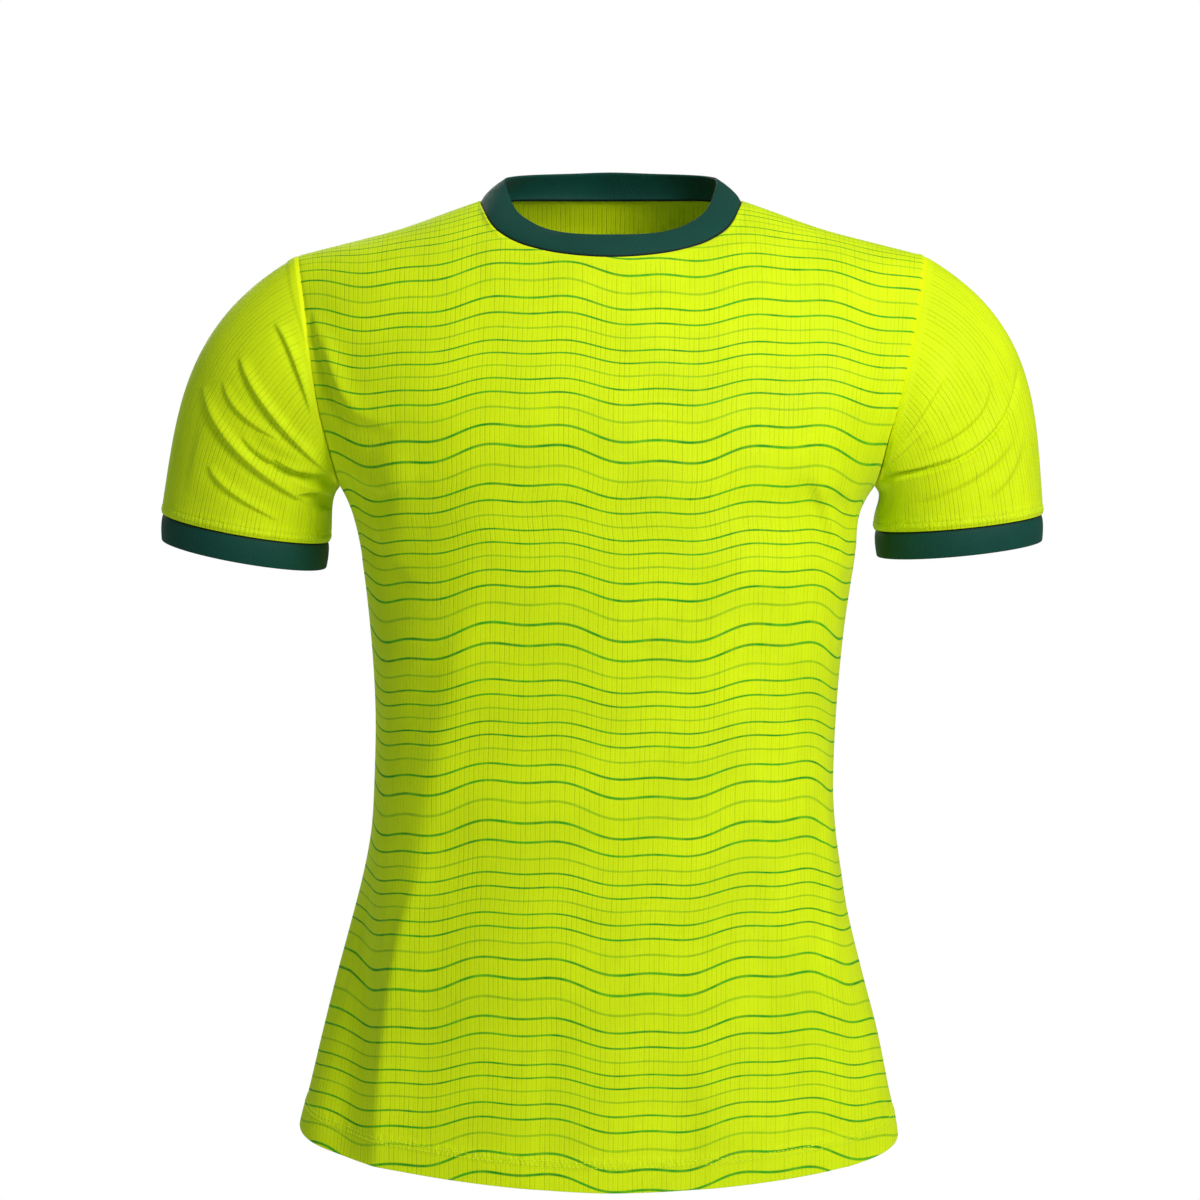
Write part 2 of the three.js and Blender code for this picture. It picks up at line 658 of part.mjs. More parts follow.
// Wall of even thickness behind a net of outer points
function wall(name, rows, normals, closed) {
  const count = rows[0].length;
  const outer = rows.flat();
  const inner = rows.flatMap((row, j) =>
    row.map((point, i) => point.clone().addScaledVector(normals[j][i], -KNIT_WALL)),
  );
  const behind = outer.length;
  const at = (j, i) => j * count + (i % count);
  const columns = closed ? count : count - 1;
  const lastRow = rows.length - 1;
  const quads = [];
  const rim = (a, b) => quads.push([a, b, b + behind, a + behind]);
  for (let i = 0; i < columns; i += 1) {
    for (let j = 0; j < lastRow; j += 1) {
      const quad = [at(j, i), at(j, i + 1), at(j + 1, i + 1), at(j + 1, i)];
      quads.push(quad, quad.map((k) => k + behind).reverse());
    }
    rim(at(0, i + 1), at(0, i));
    rim(at(lastRow, i), at(lastRow, i + 1));
  }
  for (let j = 0; j < lastRow && !closed; j += 1) {
    rim(at(j, 0), at(j + 1, 0));
    rim(at(j + 1, columns), at(j, columns));
  }
  return solid(name, [...outer, ...inner], quads, YELLOW_GREEN, KNIT_ROUGHNESS);
}

// Ring-shaped band from the sections round it, each a closed loop of points
function band(name, sections) {
  const around = sections.length;
  const count = sections[0].length;
  const at = (j, i) => (j % around) * count + (i % count);
  const quads = [];
  for (let j = 0; j < around; j += 1) {
    for (let i = 0; i < count; i += 1) {
      quads.push([at(j, i), at(j, i + 1), at(j + 1, i + 1), at(j + 1, i)]);
    }
  }
  return solid(name, sections.flat(), quads, DARK_GREEN, RIB_ROUGHNESS);
}

// Section of a band of doubled rib: up its outer face, round its folded edge and down its inner one
function bandSection(seam, edge, seamNormal, crown) {
  const width = edge.clone().sub(seam);
  const reach = width.length();
  const way = width.clone().normalize();
  const edgeNormal = seamNormal.clone().addScaledVector(way, -seamNormal.dot(way)).normalize();
  const radius = RIB_WALL / 2;
  const straight = (reach - radius) / reach;
  const outside = [];
  const inside = [];
  for (let i = 0; i <= BAND_ROWS; i += 1) {
    const share = i / BAND_ROWS;
    const normal = seamNormal.clone().lerp(edgeNormal, Math.min(1, share * 2)).normalize();
    const point = seam
      .clone()
      .addScaledVector(width, share * straight)
      .addScaledVector(edgeNormal, crown * Math.sin(Math.PI * share));
    outside.push(point);
    inside.unshift(point.clone().addScaledVector(normal, -RIB_WALL));
  }
  const centre = outside[BAND_ROWS].clone().addScaledVector(edgeNormal, -radius);
  const rounding = [];
  for (let i = 1; i < ROUND_STEPS; i += 1) {
    const angle = (Math.PI * i) / ROUND_STEPS;
    const point = centre
      .clone()
      .addScaledVector(edgeNormal, radius * Math.cos(angle))
      .addScaledVector(way, radius * Math.sin(angle));
    rounding.push(point);
  }
  return [...outside, ...rounding, ...inside];
}

function panelsAndSleeves() {
  const panels = { [FRONT]: panelPoints(FRONT), [BACK]: panelPoints(BACK) };
  const nets = [
    { name: "front", rows: panels[FRONT], trunk: true, closed: false, turn: 1 },
    { name: "back", rows: panels[BACK], trunk: true, closed: false, turn: -1 },
    ...SLEEVES.map((sleeve) => {
      const { rows, down } = sleevePoints(sleeve, panels);
      return { name: sleeve.name, rows, down, sleeve, closed: true, turn: -sleeve.side };
    }),
  ];
  for (const net of nets) {
    const measure = () => {
      net.normals = normalsOf(net.rows, net.closed);
      net.normals.flat().forEach((normal) => normal.multiplyScalar(net.turn));
    };
    measure();
    const fadeAt = net.closed ? (u, v) => fade(v) : (u, v) => fade(u) * fadeAbove(v);
    pressFolds(net.name, net.rows, net.normals, fadeAt);
    measure();
  }
  return nets;
}

function collarStations() {
  const front = neckStations(FRONT);
  const back = neckStations(BACK);
  return [...front, ...back.slice(1, -1).reverse()];
}

function cuff(net) {
  const { sleeve, down } = net;
  const last = net.rows.length - 1;
  const sections = net.rows[last].map((point) => {
    const middle = new THREE.Vector3(...sleeve.middle);
    const radial = point.clone().sub(middle);
    radial.addScaledVector(down, -radial.dot(down)).normalize();
    const seam = point
      .clone()
      .addScaledVector(radial, -CUFF_INSET)
      .addScaledVector(down, SEAM_GAP);
    const edge = seam
      .clone()
      .addScaledVector(radial, -CUFF_TAPER)
      .addScaledVector(down, CUFF_HEIGHT);
    return bandSection(seam, edge, radial, 0);
  });
  return band(sleeve.cuff, sections);
}

function jersey() {
  const group = new THREE.Group();
  const nets = panelsAndSleeves();
  const stations = collarStations();
  const collarNet = { rows: [stations.map(({ seam }) => seam.clone())] };
  collarNet.normals = [
    stations.map(({ seam, edge }, i) => {
      const after = stations[(i + 1) % stations.length].seam;
      const before = stations[(i + stations.length - 1) % stations.length].seam;
      return after.clone().sub(before).cross(edge.clone().sub(seam)).normalize();
    }),
  ];
  shareNormals([...nets, collarNet]);
  for (const net of nets) {
    openSeams(net.rows, net.closed);
    group.add(wall(net.name, net.rows, net.normals, net.closed));
    if (net.sleeve) group.add(cuff(net));
  }
  const sections = stations.map(({ seam, edge }, i) => {
    const lifted = seam.clone().addScaledVector(edge.clone().sub(seam).normalize(), SEAM_GAP / 2);
    return bandSection(lifted, edge, collarNet.normals[0][i], COLLAR_CROWN);
  });
  group.add(band("collar", sections));
  return group;
}

export default jersey();
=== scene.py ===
"""Looks of a short-sleeved football jersey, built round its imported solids.

The tables are in millimetres in the part's own frame, and the meshes are in metres. The front
faces -Y. Left and right are the wearer's own, so the left sleeve lies on the +X side.
"""

import math

import bpy
import numpy as np
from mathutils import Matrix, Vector


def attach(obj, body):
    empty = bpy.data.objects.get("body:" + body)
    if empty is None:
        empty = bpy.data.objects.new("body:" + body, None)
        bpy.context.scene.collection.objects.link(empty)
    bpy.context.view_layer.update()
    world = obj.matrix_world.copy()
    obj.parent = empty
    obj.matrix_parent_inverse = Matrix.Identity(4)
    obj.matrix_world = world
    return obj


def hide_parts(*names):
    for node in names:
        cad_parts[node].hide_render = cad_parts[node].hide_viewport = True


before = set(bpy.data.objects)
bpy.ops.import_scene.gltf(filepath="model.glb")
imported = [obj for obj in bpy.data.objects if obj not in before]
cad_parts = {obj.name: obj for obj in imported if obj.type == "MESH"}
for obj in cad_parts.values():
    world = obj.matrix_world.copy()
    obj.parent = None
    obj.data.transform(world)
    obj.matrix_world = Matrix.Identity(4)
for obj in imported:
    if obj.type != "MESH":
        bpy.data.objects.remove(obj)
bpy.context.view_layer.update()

MM = 0.001

# How finely each piece is divided
TRUNK_ROWS = 130  # hem to underarm
YOKE_ROWS = 100  # underarm to shoulder, and along half an armhole
SHOULDER_COLUMNS = 44  # along one shoulder seam
NECK_COLUMNS = 76  # along the front or the back of the neck seam
SLEEVE_ROWS = 190  # armhole to hem
SLEEVE_FRONT_STEP = 0.4  # in points of the armhole, of which the sleeve's front takes more
SLEEVE_BACK_STEP = 1.25
INNER_STEP = 3  # rows of a sleeve's outer face to one of its inner face
LOWEST_REACH = 2  # rows and columns of a sleeve that its inner face keeps below
BAND_ROWS = 12  # across the collar and the cuffs
ROUND_STEPS = 6  # round the free edge of a band or a panel
FINE_STEPS = 400  # where a length is measured along a curve
FLAT_STEPS = 24  # where a section is laid flat
FOLD_STEPS = 24  # straight lengths that a crease is measured along
SETTLING_STEPS = 12  # until the height and the width of a point of the yoke agree
RELAXING_ROUNDS = 40  # smooth the cloth below the ends of the neck seam
RELAXED_BEYOND = 18  # from the top edge and the sides, where that is whole
TINY = 1e-9  # the least length of a vector to be turned into a direction
EDGE_PLACES = (0.25, 0.5, 0.75, 1.5, 2.5)  # extra rows near a seam, in steps of the even ones

KNIT_WALL = 1.0
RIB_WALL = 2.2

FRONT, BACK = -1, 1
RIGHT, LEFT = -1, 1

# Trunk, as in the solids
UNDERARM_Z = -209.5
YOKE_Z = -262  # above this the cloth turns over towards the shoulders
UNDERARM_DIP = 32  # how far the row of points from underarm to underarm hangs down between
UNDERARM_DIP_POWER = 8
HEM_Z = -703
BACK_HEM_Z = -700
HEM_LOWEST = 0.07  # where the hem is lowest, as a share of half the panel to the left
HEM_RISE = {RIGHT: 38, LEFT: 30}
HEM_POWER = 2.2
SHOULDER_POWER = 2.3
YOKE_SQUARENESS = 2.5
NECK_PULL_POWER = 4
SIDE_HOLD = 3
LEVEL_SECTION = (190, 115, 2.4)  # width, depth and squareness
SHOULDER_DEEP = 95
SHOULDER_HIGH = 165


def table(names, *rows):
    """Columns of numbers by name."""
    return dict(zip(names.split(), np.array(rows, float).T))


TRUNK = table(
    "z centre half front back squareness",
    (-730, -9.4, 217.5, 94, 98, 1.85),
    (-673, -9.3, 215.2, 95, 97, 1.87),
    (-640, -8.6, 208, 96, 96, 1.9),
    (-600, -7.9, 199.2, 98, 95, 1.95),
    (-560, -8.1, 189, 101, 94, 2.05),
    (-515, -7.5, 177.5, 104, 94, 2.2),
    (-486, -6.2, 171.5, 106, 95, 2.3),
    (-457, -5.5, 166.8, 108, 97, 2.35),
    (-425, -5.3, 164.8, 110, 99, 2.4),
    (-370, -3.7, 165.4, 113, 103, 2.45),
    (-313, -2.8, 169.8, 118, 110, 2.5),
    (-256, -2.1, 177.5, 122.5, 118, 2.5),
    (-227, -4.1, 182.4, 124.5, 121, 2.5),
    (-209.5, -2.6, 192.1, 126, 124, 2.5),
    (-181, -2.6, 210, 126.5, 129, 2.5),
    (-155, -2.3, 224, 125.5, 132, 2.5),
    (-125, -1.2, 233, 122.5, 133.5, 2.5),
    (-80, 0, 239, 114.5, 133, 2.5),
    (-50, 0, 242.5, 104, 133, 2.5),
    (-28, 0, 244, 84, 135, 2.5),
    (-12, 0, 245, 68, 140, 2.5),
    (20, 0, 246, 50, 148, 2.5),
)
RIDGE = table(
    "x z",
    (-60, 8.5),
    (0, 20),
    (60, 8.5),
    (94, -4),
    (112, -10.6),
    (152, -25),
    (190, -35),
    (225.5, -44),
    (250, -51),
)
ARMHOLE = table(
    "z front back",
    (-209.5, 192.1, 192.1),
    (-204, 193.2, 193.6),
    (-181, 198, 200),
    (-155, 204.5, 208),
    (-125, 210.5, 214),
    (-80, 218.7, 221),
    (-44, 225.5, 225.5),
)
# x, y and z of the neck seam, and then of the collar's free edge
NECK_BACK = (
    (0, 60, 3, 0, 50, 22.5),
    (38, 51.5, 2, 31.5, 46, 21),
    (70, 35.5, 0.5, 57.5, 31, 18.5),
    (87, 19, -2.7, 71.5, 15, 15.5),
)
NECK_HIGH_POINT = (94, 0, -4, 76.3, -1, 11.5)
NECK_FRONT = (
    (91.5, -22, -13, 74.5, -14, 2),
    (83.5, -42.5, -27, 68, -31, -13),
    (72.5, -53, -35.8, 59.5, -42, -21.4),
    (60, -62, -42, 47, -51, -28.4),
    (35, -72, -48.5, 28.5, -60.5, -33),
    (0, -77, -51.5, 0, -65, -34.4),
)
COLLAR_CROWN = 1.2  # how far the middle of the band bulges

SLEEVES = (
    {
        "name": "sleeve_right",
        "cuff": "cuff_right",
        "side": RIGHT,
        "middle": (-264.4, 17, -237.7),
        "outward": (-61.1, 0, 10.9),
        "forward": (0, -57, -7.5),
    },
    {
        "name": "sleeve_left",
        "cuff": "cuff_left",
        "side": LEFT,
        "middle": (251.7, 17, -233.8),
        "outward": (61.4, 0, 6.2),
        "forward": (0, -57, -6.5),
    },
)
SLEEVE_COURSE = table(
    "quarter out forward up reach",
    (0, 28, 0, -20, 45),
    (0.5, 48, 4, -50, 85),
    (1, 88, 14, -68, 130),
    (1.5, 180, 30, -70, 180),
    (2, 254, 0, -146, 210),
    (2.5, 180, -34, -70, 180),
    (3, 88, -22, -68, 130),
    (3.5, 48, -6, -50, 85),
)
CUFF_HEIGHT = 20
CUFF_INSET = 1.2
CUFF_TAPER = 0.3
CUFF_HANG = 0.6  # how far the cuff hangs from the sleeve's course towards the plumb line
CUFF_CROWN = 0.7
SEAM_GAP = 0.3

# Creases by piece and face. Each has the x and z of its start, of a place on its way and of its
# end, as seen from the front. Then come its width, the depth of its trough, which is negative for a
# lone ridge, and the height of the lip beside it: on the right of its run where that is positive,
# on the left where it is negative, and 0 for none.
CREASES = {}
CREASES["sleeve_right", FRONT] = (
    (-239, -96, -226, -120, -212, -160, 2.6, 0.8, -2.3),
    (-264, -120, -243, -158, -200, -203, 2.6, 1.2, -3.2),
    (-276, -137, -263, -160, -234, -179, 2.4, 0.6, -1.9),
    (-250, -172, -234, -184, -206, -197, 8, -1.4, 0),
    (-292, -140, -267, -185, -212, -226, 2.8, 1.4, -3.4),
    (-262, -176, -240, -194, -206, -205, 2.6, 1.4, -1.8),
    (-238, -192, -218, -202, -193, -204, 2.6, 3.6, -1.2),
    (-286, -196, -272, -214, -236, -236, 2.4, 0.8, -2.1),
    (-224, -206, -209, -211, -193, -208, 3.4, 5, 0.6),
    (-223, -218, -208, -216, -193, -219, 3, 5, -0.8),
    (-214, -230, -203, -226, -191, -228, 3, 3.4, 0.8),
    (-302, -214, -298, -190, -292, -168, 6, 0.3, 0.7),
)
CREASES["sleeve_left", FRONT] = (
    (290, -128, 262, -182, 188, -205, 2.8, 0.6, 1.5),
    (291, -126, 262, -182, 188, -205, 2.6, 3.8, 0),
    (240, -193, 212, -202, 186, -205, 2.8, 3.6, 0),
    (268, -180, 236, -197, 190, -207, 6, -1.2, 0),
    (267, -138, 258, -164, 222, -187, 3.2, 1.6, 1.5),
    (236, -134, 218, -163, 194, -196, 3.2, 1.8, 1.9),
    (222, -172, 207, -187, 192, -200, 2.2, 1.8, 1.2),
    (294, -178, 284, -204, 266, -220, 4, 1, 1.2),
    (287, -176, 262, -203, 217, -223, 4.5, 1.2, 1.4),
    (192, -212, 194, -222, 192, -232, 3, 1.8, 1),
)
CREASES["sleeve_right", BACK] = (
    (-244, -104, -228, -152, -204, -192, 4, 1.6, -1.4),
    (-288, -150, -258, -188, -212, -208, 4, 1.8, -1.6),
    (-270, -120, -250, -158, -208, -198, 4, 1.1, -1),
    (-296, -196, -276, -216, -246, -230, 5, 0.9, -0.8),
)
CREASES["sleeve_left", BACK] = (
    (284, -140, 256, -182, 206, -205, 4, 1.8, 1.6),
    (240, -100, 226, -150, 204, -190, 4, 1.5, 1.4),
    (264, -118, 244, -160, 204, -198, 4, 1, 0.9),
    (292, -190, 272, -212, 240, -228, 5, 0.9, 0.8),
)
CREASES["front_panel", FRONT] = (
    (-176, -470, -186, -590, -195, -694, 24, 9, 0),
    (-88, -270, -137, -495, -170, -760, 22, -3.5, 0),
    (-128, -480, -155, -570, -166, -720, 8, -2.6, 0),
    (149, -430, 154, -560, 166, -716, 5, 0.9, -2),
    (76, -340, 116, -500, 146, -690, 20, -2.5, 0),
    (-212, -88, -202, -130, -185, -172, 4.5, 2, -3),
    (-203, -106, -193, -140, -176, -174, 4.5, 1.6, -2.5),
    (-188, -146, -174, -166, -152, -172, 7, 1.6, -1.2),
    (-160, -184, -148, -214, -152, -262, 20, -3, 0),
    (-186, -200, -160, -216, -132, -204, 7, 1.4, -1.1),
    (-170, -230, -156, -262, -134, -282, 7, 1.1, -0.8),
    (136, -204, 150, -240, 160, -276, 7, 2.4, -3.4),
    (160, -214, 169, -240, 175, -266, 6, 1.8, -2.2),
    (206, -118, 194, -148, 188, -182, 5, 1, -0.8),
    (-40, -560, -52, -640, -50, -740, 15, 1, 0.7),
    (52, -590, 62, -660, 64, -740, 15, 1, -0.7),
    (-24, -62, 0, -74, 30, -64, 14, 0.8, 0),
)
CREASES["back_panel", BACK] = (
    (-164, -470, -176, -600, -184, -760, 16, 4.4, 2.2),
    (156, -450, 168, -600, 178, -760, 16, 4.4, -2.2),
    (-20, -330, -9, -430, 6, -540, 36, 6, 0),
    (-150, -250, -56, -292, 40, -288, 10, 1.7, -1.3),
    (160, -262, 86, -325, 10, -345, 10, 1.7, 1.3),
    (-196, -140, -178, -180, -150, -215, 7, 1.8, -1.3),
    (196, -140, 180, -182, 154, -216, 7, 1.8, 1.3),
    (-120, -410, -60, -436, 20, -436, 9, 1.3, -1.1),
    (120, -400, 66, -448, -10, -468, 9, 1.3, 1.1),
    (-60, -560, -70, -640, -66, -740, 16, 1.2, 0.8),
    (72, -570, 82, -650, 80, -740, 16, 1.2, -0.8),
)
FOLD_NARROWING = 1.5  # of a lone trough or ridge
LIP_REACH = 1.7  # of the gentle sides of a crease with a lip, in its widths
FOLD_END_POWER = 0.6  # how bluntly a crease ends
FOLD_TURN = 3  # how soon a crease shows where cloth turns to its face
SEAM_FADE = (0.5, 4.0)  # creases begin between these distances from a seam
SIDE_FADE = (0.0, 14.0)  # and those of the trunk between these from a side seam

# Seams and hems
GROOVE_DEPTH = 0.75  # of a seam, below the cloth beside it
GROOVE_WIDTH = 1.5

# The seam allowance shows as a raised strip beside the armhole seam, that runs out downwards
SLEEVE_STRIP = {"width": 8.0, "height": 0.6, "from": -62, "to": -132}
PANEL_STRIP = {"width": 5.0, "height": 0.5, "from": -150, "to": -178}
STRIP_EDGE = 1.0
STRIP_RISE = 2  # how soon a strip has its full height, next to its full width
BOTTOM_HEM = 20.0  # height of the upper stitch line above the edge
BOTTOM_STITCHES = (17.0, BOTTOM_HEM)
SLEEVE_HEM = 5.0
HEM_STEP = 0.4  # how much the turned-up hem stands out
HEM_SLOPE = 1.2  # half the width of the slope at its top
STITCH_DENT = 0.4
STITCH_DENT_WIDTH = 1.1
STITCH_PITCH = 3.2
STITCH_LENGTH = 2.6
STITCH_RADIUS = 0.28
STITCH_LIFT = 0.05  # of its ends above the cloth
STITCH_ARCH = 0.6  # how much higher its middle is, in radii
STITCH_TIP = 0.12  # the least share of its section
STITCH_SECTIONS = 5
STITCH_SIDES = 6
BAND_TURN = 2  # how soon a band's wall turns from its seam's normals to its own
BAND_GROOVE = 9  # narrowness of the groove at a band's seam

# Knit and print, in metres
RIB_PERIOD = 0.0034
MESH_STEP = 0.0017
PRINT_SPACING = 0.0112
PRINT_LINE = 0.0013
PRINT_GATHER = (0.0045, 0.125)  # how far the lines draw together, and how often
PRINT_WAVES = ((0.0055, 0.190, 0.4), (0.0016, 0.061, 1.1))  # height, length and phase
FAINT_EVERY = 3.0  # lines
FAINT_SHARE = 0.5

# Both panels, with the size and area of their flat cut in metres
PANELS = (
    {"node": "front", "face": FRONT, "slot": "printed_knit", "flat": (0.545, 0.71), "area": 0.322},
    {"node": "back", "face": BACK, "slot": "plain_knit", "flat": (0.545, 0.735), "area": 0.332},
)


def follow(places, values):
    """Smooth curve through values at places, level beyond its ends."""
    places = np.asarray(places, float)
    values = np.asarray(values, float)
    last = len(places) - 1
    before = np.maximum(np.arange(last + 1) - 1, 0)
    after = np.minimum(np.arange(last + 1) + 1, last)
    slopes = (values[after] - values[before]) / (places[after] - places[before])

    def at(wanted):
        place = np.clip(wanted, places[0], places[last])
        i = np.clip(np.searchsorted(places, place) - 1, 0, last - 1)
        span = places[i + 1] - places[i]
        t = (place - places[i]) / span
        rest = 1 - t
        return (
            values[i] * (1 + 2 * t) * rest * rest
            + slopes[i] * span * t * rest * rest
            + values[i + 1] * t * t * (3 - 2 * t)
            - slopes[i + 1] * span * t * t * rest
        )

    return at


def smoothstep(value, low, high):
    t = np.clip((value - low) / (high - low), 0, 1)
    return t * t * (3 - 2 * t)


def lerp(a, b, t):
    return a + (b - a) * t


def run_lengths(points):
    """Length along a row of points, from the first one."""
    steps = np.linalg.norm(np.diff(points, axis=0), axis=-1)
    return np.concatenate([np.zeros((1,) + steps.shape[1:]), np.cumsum(steps, axis=0)])


def unit(vectors):
    """Directions of vectors."""
    return vectors / np.maximum(np.linalg.norm(vectors, axis=-1, keepdims=True), TINY)


def across_only(vectors, way):
    """Vectors without what they have along a way of length one."""
    return vectors - way * np.sum(vectors * way, axis=-1, keepdims=True)


def superellipse(angle, power):
    """Place at an angle of a quarter of a superellipse whose half axes are one."""
    return np.clip(np.cos(angle), 0, 1) ** (2 / power), np.sin(angle) ** (2 / power)


def quarter_arc(across, along, power):
    """Quarter of a superellipse: its angle by the share of its length, the other way round, and
    that length."""
    angle = np.linspace(0, math.pi / 2, FINE_STEPS + 1)
    x, y = superellipse(angle, power)
    run = run_lengths(np.stack([across * x, along * y], axis=1))
    share = run / run[-1]
    return follow(share, angle), follow(angle, share), run[-1]


trunk_centre, trunk_half, trunk_squareness, front_depth, back_depth = (
    follow(TRUNK["z"], TRUNK[key]) for key in ("centre", "half", "squareness", "front", "back")
)
trunk_depth = {FRONT: front_depth, BACK: back_depth}
ridge_height = follow(RIDGE["x"], RIDGE["z"])
armhole_half = {
    face: follow(ARMHOLE["z"], ARMHOLE[key]) for face, key in ((FRONT, "front"), (BACK, "back"))
}
level_angle, level_share, _ = quarter_arc(*LEVEL_SECTION)
turn_angle, turn_share, turn_length = quarter_arc(SHOULDER_DEEP, SHOULDER_HIGH, SHOULDER_POWER)


def closing(rise):
    """How far the cloth has closed in over the shoulder at a share of the way up."""
    return (1 - np.clip(rise, 0, 1) ** SHOULDER_POWER) ** (1 / SHOULDER_POWER)


def rise_at(x, z):
    return (z - YOKE_Z) / (ridge_height(np.abs(x)) - YOKE_Z)


def trunk_point(face, across, z):
    wide, deep = superellipse(level_angle(1 - np.abs(across)), trunk_squareness(z))
    x = trunk_centre(z) + np.sign(across) * trunk_half(z) * wide
    y = face * trunk_depth[face](z) * deep * closing(rise_at(x, z))
    return np.stack([x, y, z + 0 * x], axis=-1)


def turned_rise(up):
    """Share of the yoke's height at a share of the way round its turn."""
    return superellipse(turn_angle(up), SHOULDER_POWER)[1]


def yoke_point(face, across, up):
    wide, deep = superellipse(level_angle(1 - np.abs(across)), YOKE_SQUARENESS)
    rise = turned_rise(up)
    x = np.sign(across) * wide * trunk_half(0)
    for _ in range(SETTLING_STEPS):
        z = YOKE_Z + (ridge_height(np.abs(x)) - YOKE_Z) * rise
        x = trunk_centre(z) + np.sign(across) * wide * trunk_half(z)
    return np.stack([x, face * trunk_depth[face](z) * deep * closing(rise), z], axis=-1)


def yoke_place(x, z):
    """The across and up of a point of the yoke, from where it is seen from the front."""
    turn = np.arcsin(np.clip(rise_at(x, z), 0, 1) ** (SHOULDER_POWER / 2))
    offset = x - trunk_centre(z)
    wide = np.clip(np.abs(offset) / trunk_half(z), 0, 1)
    angle = np.arccos(wide ** (YOKE_SQUARENESS / 2))
    return np.stack([np.sign(offset) * (1 - level_share(angle)), turn_share(turn)], axis=-1)


def evenly(point_at, count):
    """Shares of a curve at evenly spaced stations."""
    share = np.linspace(0, 1, FINE_STEPS + 1)
    run = run_lengths(point_at(share))
    return follow(run, share)(np.linspace(0, run[-1], count + 1))


def armhole(face, side):
    """Half of an armhole as yoke places, from the underarm to the shoulder."""
    top = ARMHOLE["z"][-1]

    def place(share):
        z = UNDERARM_Z + (top - UNDERARM_Z) * turned_rise(share)
        found = yoke_place(trunk_centre(z) + side * armhole_half[face](z), z)
        found[..., 0] = np.where(share == 0, side, found[..., 0])
        found[..., 1] = np.where(share == 1, 1, found[..., 1])
        return found

    def point(share):
        found = place(share)
        return yoke_point(face, found[..., 0], found[..., 1])

    return place(evenly(point, YOKE_ROWS))


def neck_loop():
    """The neck seam and the collar's edge by run: right high point, front, left one, back."""
    mirror = np.array([-1, 1, 1, -1, 1, 1])
    front = np.array((NECK_HIGH_POINT,) + NECK_FRONT, float)
    back = np.array(NECK_BACK + (NECK_HIGH_POINT,), float)
    rows = np.concatenate([front * mirror, front[-2::-1], back[-2::-1], back[1:-1] * mirror])
    count = len(rows)
    runs = run_lengths(np.concatenate([rows, rows[:1]])[:, :3])
    lap = np.arange(-2, count + 3)
    around = runs[lap % count] + np.floor_divide(lap, count) * runs[-1]
    columns = [follow(around, rows[lap % count, k]) for k in range(6)]

    def at(run):
        values = np.stack([column(run) for column in columns], axis=-1)
        return values[..., :3], values[..., 3:]

    return at, runs[2 * (len(front) - 1)], runs[-1]


neck_at, neck_front_run, neck_whole = neck_loop()


def neck_stations(face):
    """Seam and edge points of the neck from the right shoulder to the left one."""
    start = 0 if face == FRONT else neck_whole

    def run_at(share):
        return lerp(start, neck_front_run, share)

    shares = evenly(lambda share: neck_at(run_at(share))[0], NECK_COLUMNS)
    return neck_at(run_at(shares))


def top_edge(face):
    """Yoke places of a panel's top edge, and how far the neck seam lies from the yoke there."""
    shoulder_x = ARMHOLE["front"][-1]
    high_x = NECK_HIGH_POINT[0]
    x = lerp(shoulder_x, high_x, np.arange(SHOULDER_COLUMNS) / SHOULDER_COLUMNS)
    shoulder = yoke_place(x, ridge_height(x))
    shoulder[:, 1] = 1
    seam = neck_stations(face)[0]
    neck = yoke_place(seam[:, 0], seam[:, 2])
    pull = seam - yoke_point(face, neck[:, 0], neck[:, 1])
    none = np.zeros((SHOULDER_COLUMNS, 3))
    places = np.concatenate([shoulder * (-1, 1), neck, shoulder[::-1]])
    return places, np.concatenate([none, pull, none])


def hem_height(face, across):
    middle = HEM_Z if face == FRONT else BACK_HEM_Z
    to_the_right = across < HEM_LOWEST
    side = HEM_Z + np.where(to_the_right, HEM_RISE[RIGHT], HEM_RISE[LEFT])
    whole = np.where(to_the_right, HEM_LOWEST + 1, 1 - HEM_LOWEST)
    return lerp(middle, side, (np.abs(across - HEM_LOWEST) / whole) ** HEM_POWER)


def panel_points(face):
    """Outer points of a panel, row by row from the hem to the shoulders and neck."""
    top, pull = top_edge(face)
    columns = len(top) - 1
    across = np.linspace(-1, 1, columns + 1)
    chest_z = UNDERARM_Z - UNDERARM_DIP * (1 - np.abs(across) ** UNDERARM_DIP_POWER)
    hem_z = hem_height(face, across)
    t = np.arange(TRUNK_ROWS)[:, None] / TRUNK_ROWS
    lower = trunk_point(face, across[None, :] + 0 * t, lerp(hem_z, chest_z, t))
    chest = trunk_point(face, across, chest_z)
    chest_place = yoke_place(chest[:, 0], chest[:, 2])
    chest_place[0, 0] = RIGHT
    chest_place[-1, 0] = LEFT
    right, left = armhole(face, RIGHT), armhole(face, LEFT)
    v = (np.arange(YOKE_ROWS + 1) / YOKE_ROWS)[:, None, None]
    u = (np.arange(columns + 1) / columns)[None, :, None]
    place = (
        lerp(chest_place[None], top[None], v)
        + (1 - u) ** SIDE_HOLD * (right[:, None] - lerp(right[0], top[0], v))
        + u**SIDE_HOLD * (left[:, None] - lerp(left[0], top[-1], v))
    )
    upper = yoke_point(face, place[..., 0], place[..., 1]) + pull[None] * v**NECK_PULL_POWER
    upper[0] = chest
    return np.concatenate([lower, upper])


def armhole_loop(panels, side):
    """Loop of points round an armhole: underarm, front, shoulder, back."""
    column = 0 if side == RIGHT else -1
    front = panels[FRONT][TRUNK_ROWS:, column]
    back = panels[BACK][TRUNK_ROWS:, column]
    return np.concatenate([front, back[-2:0:-1]])


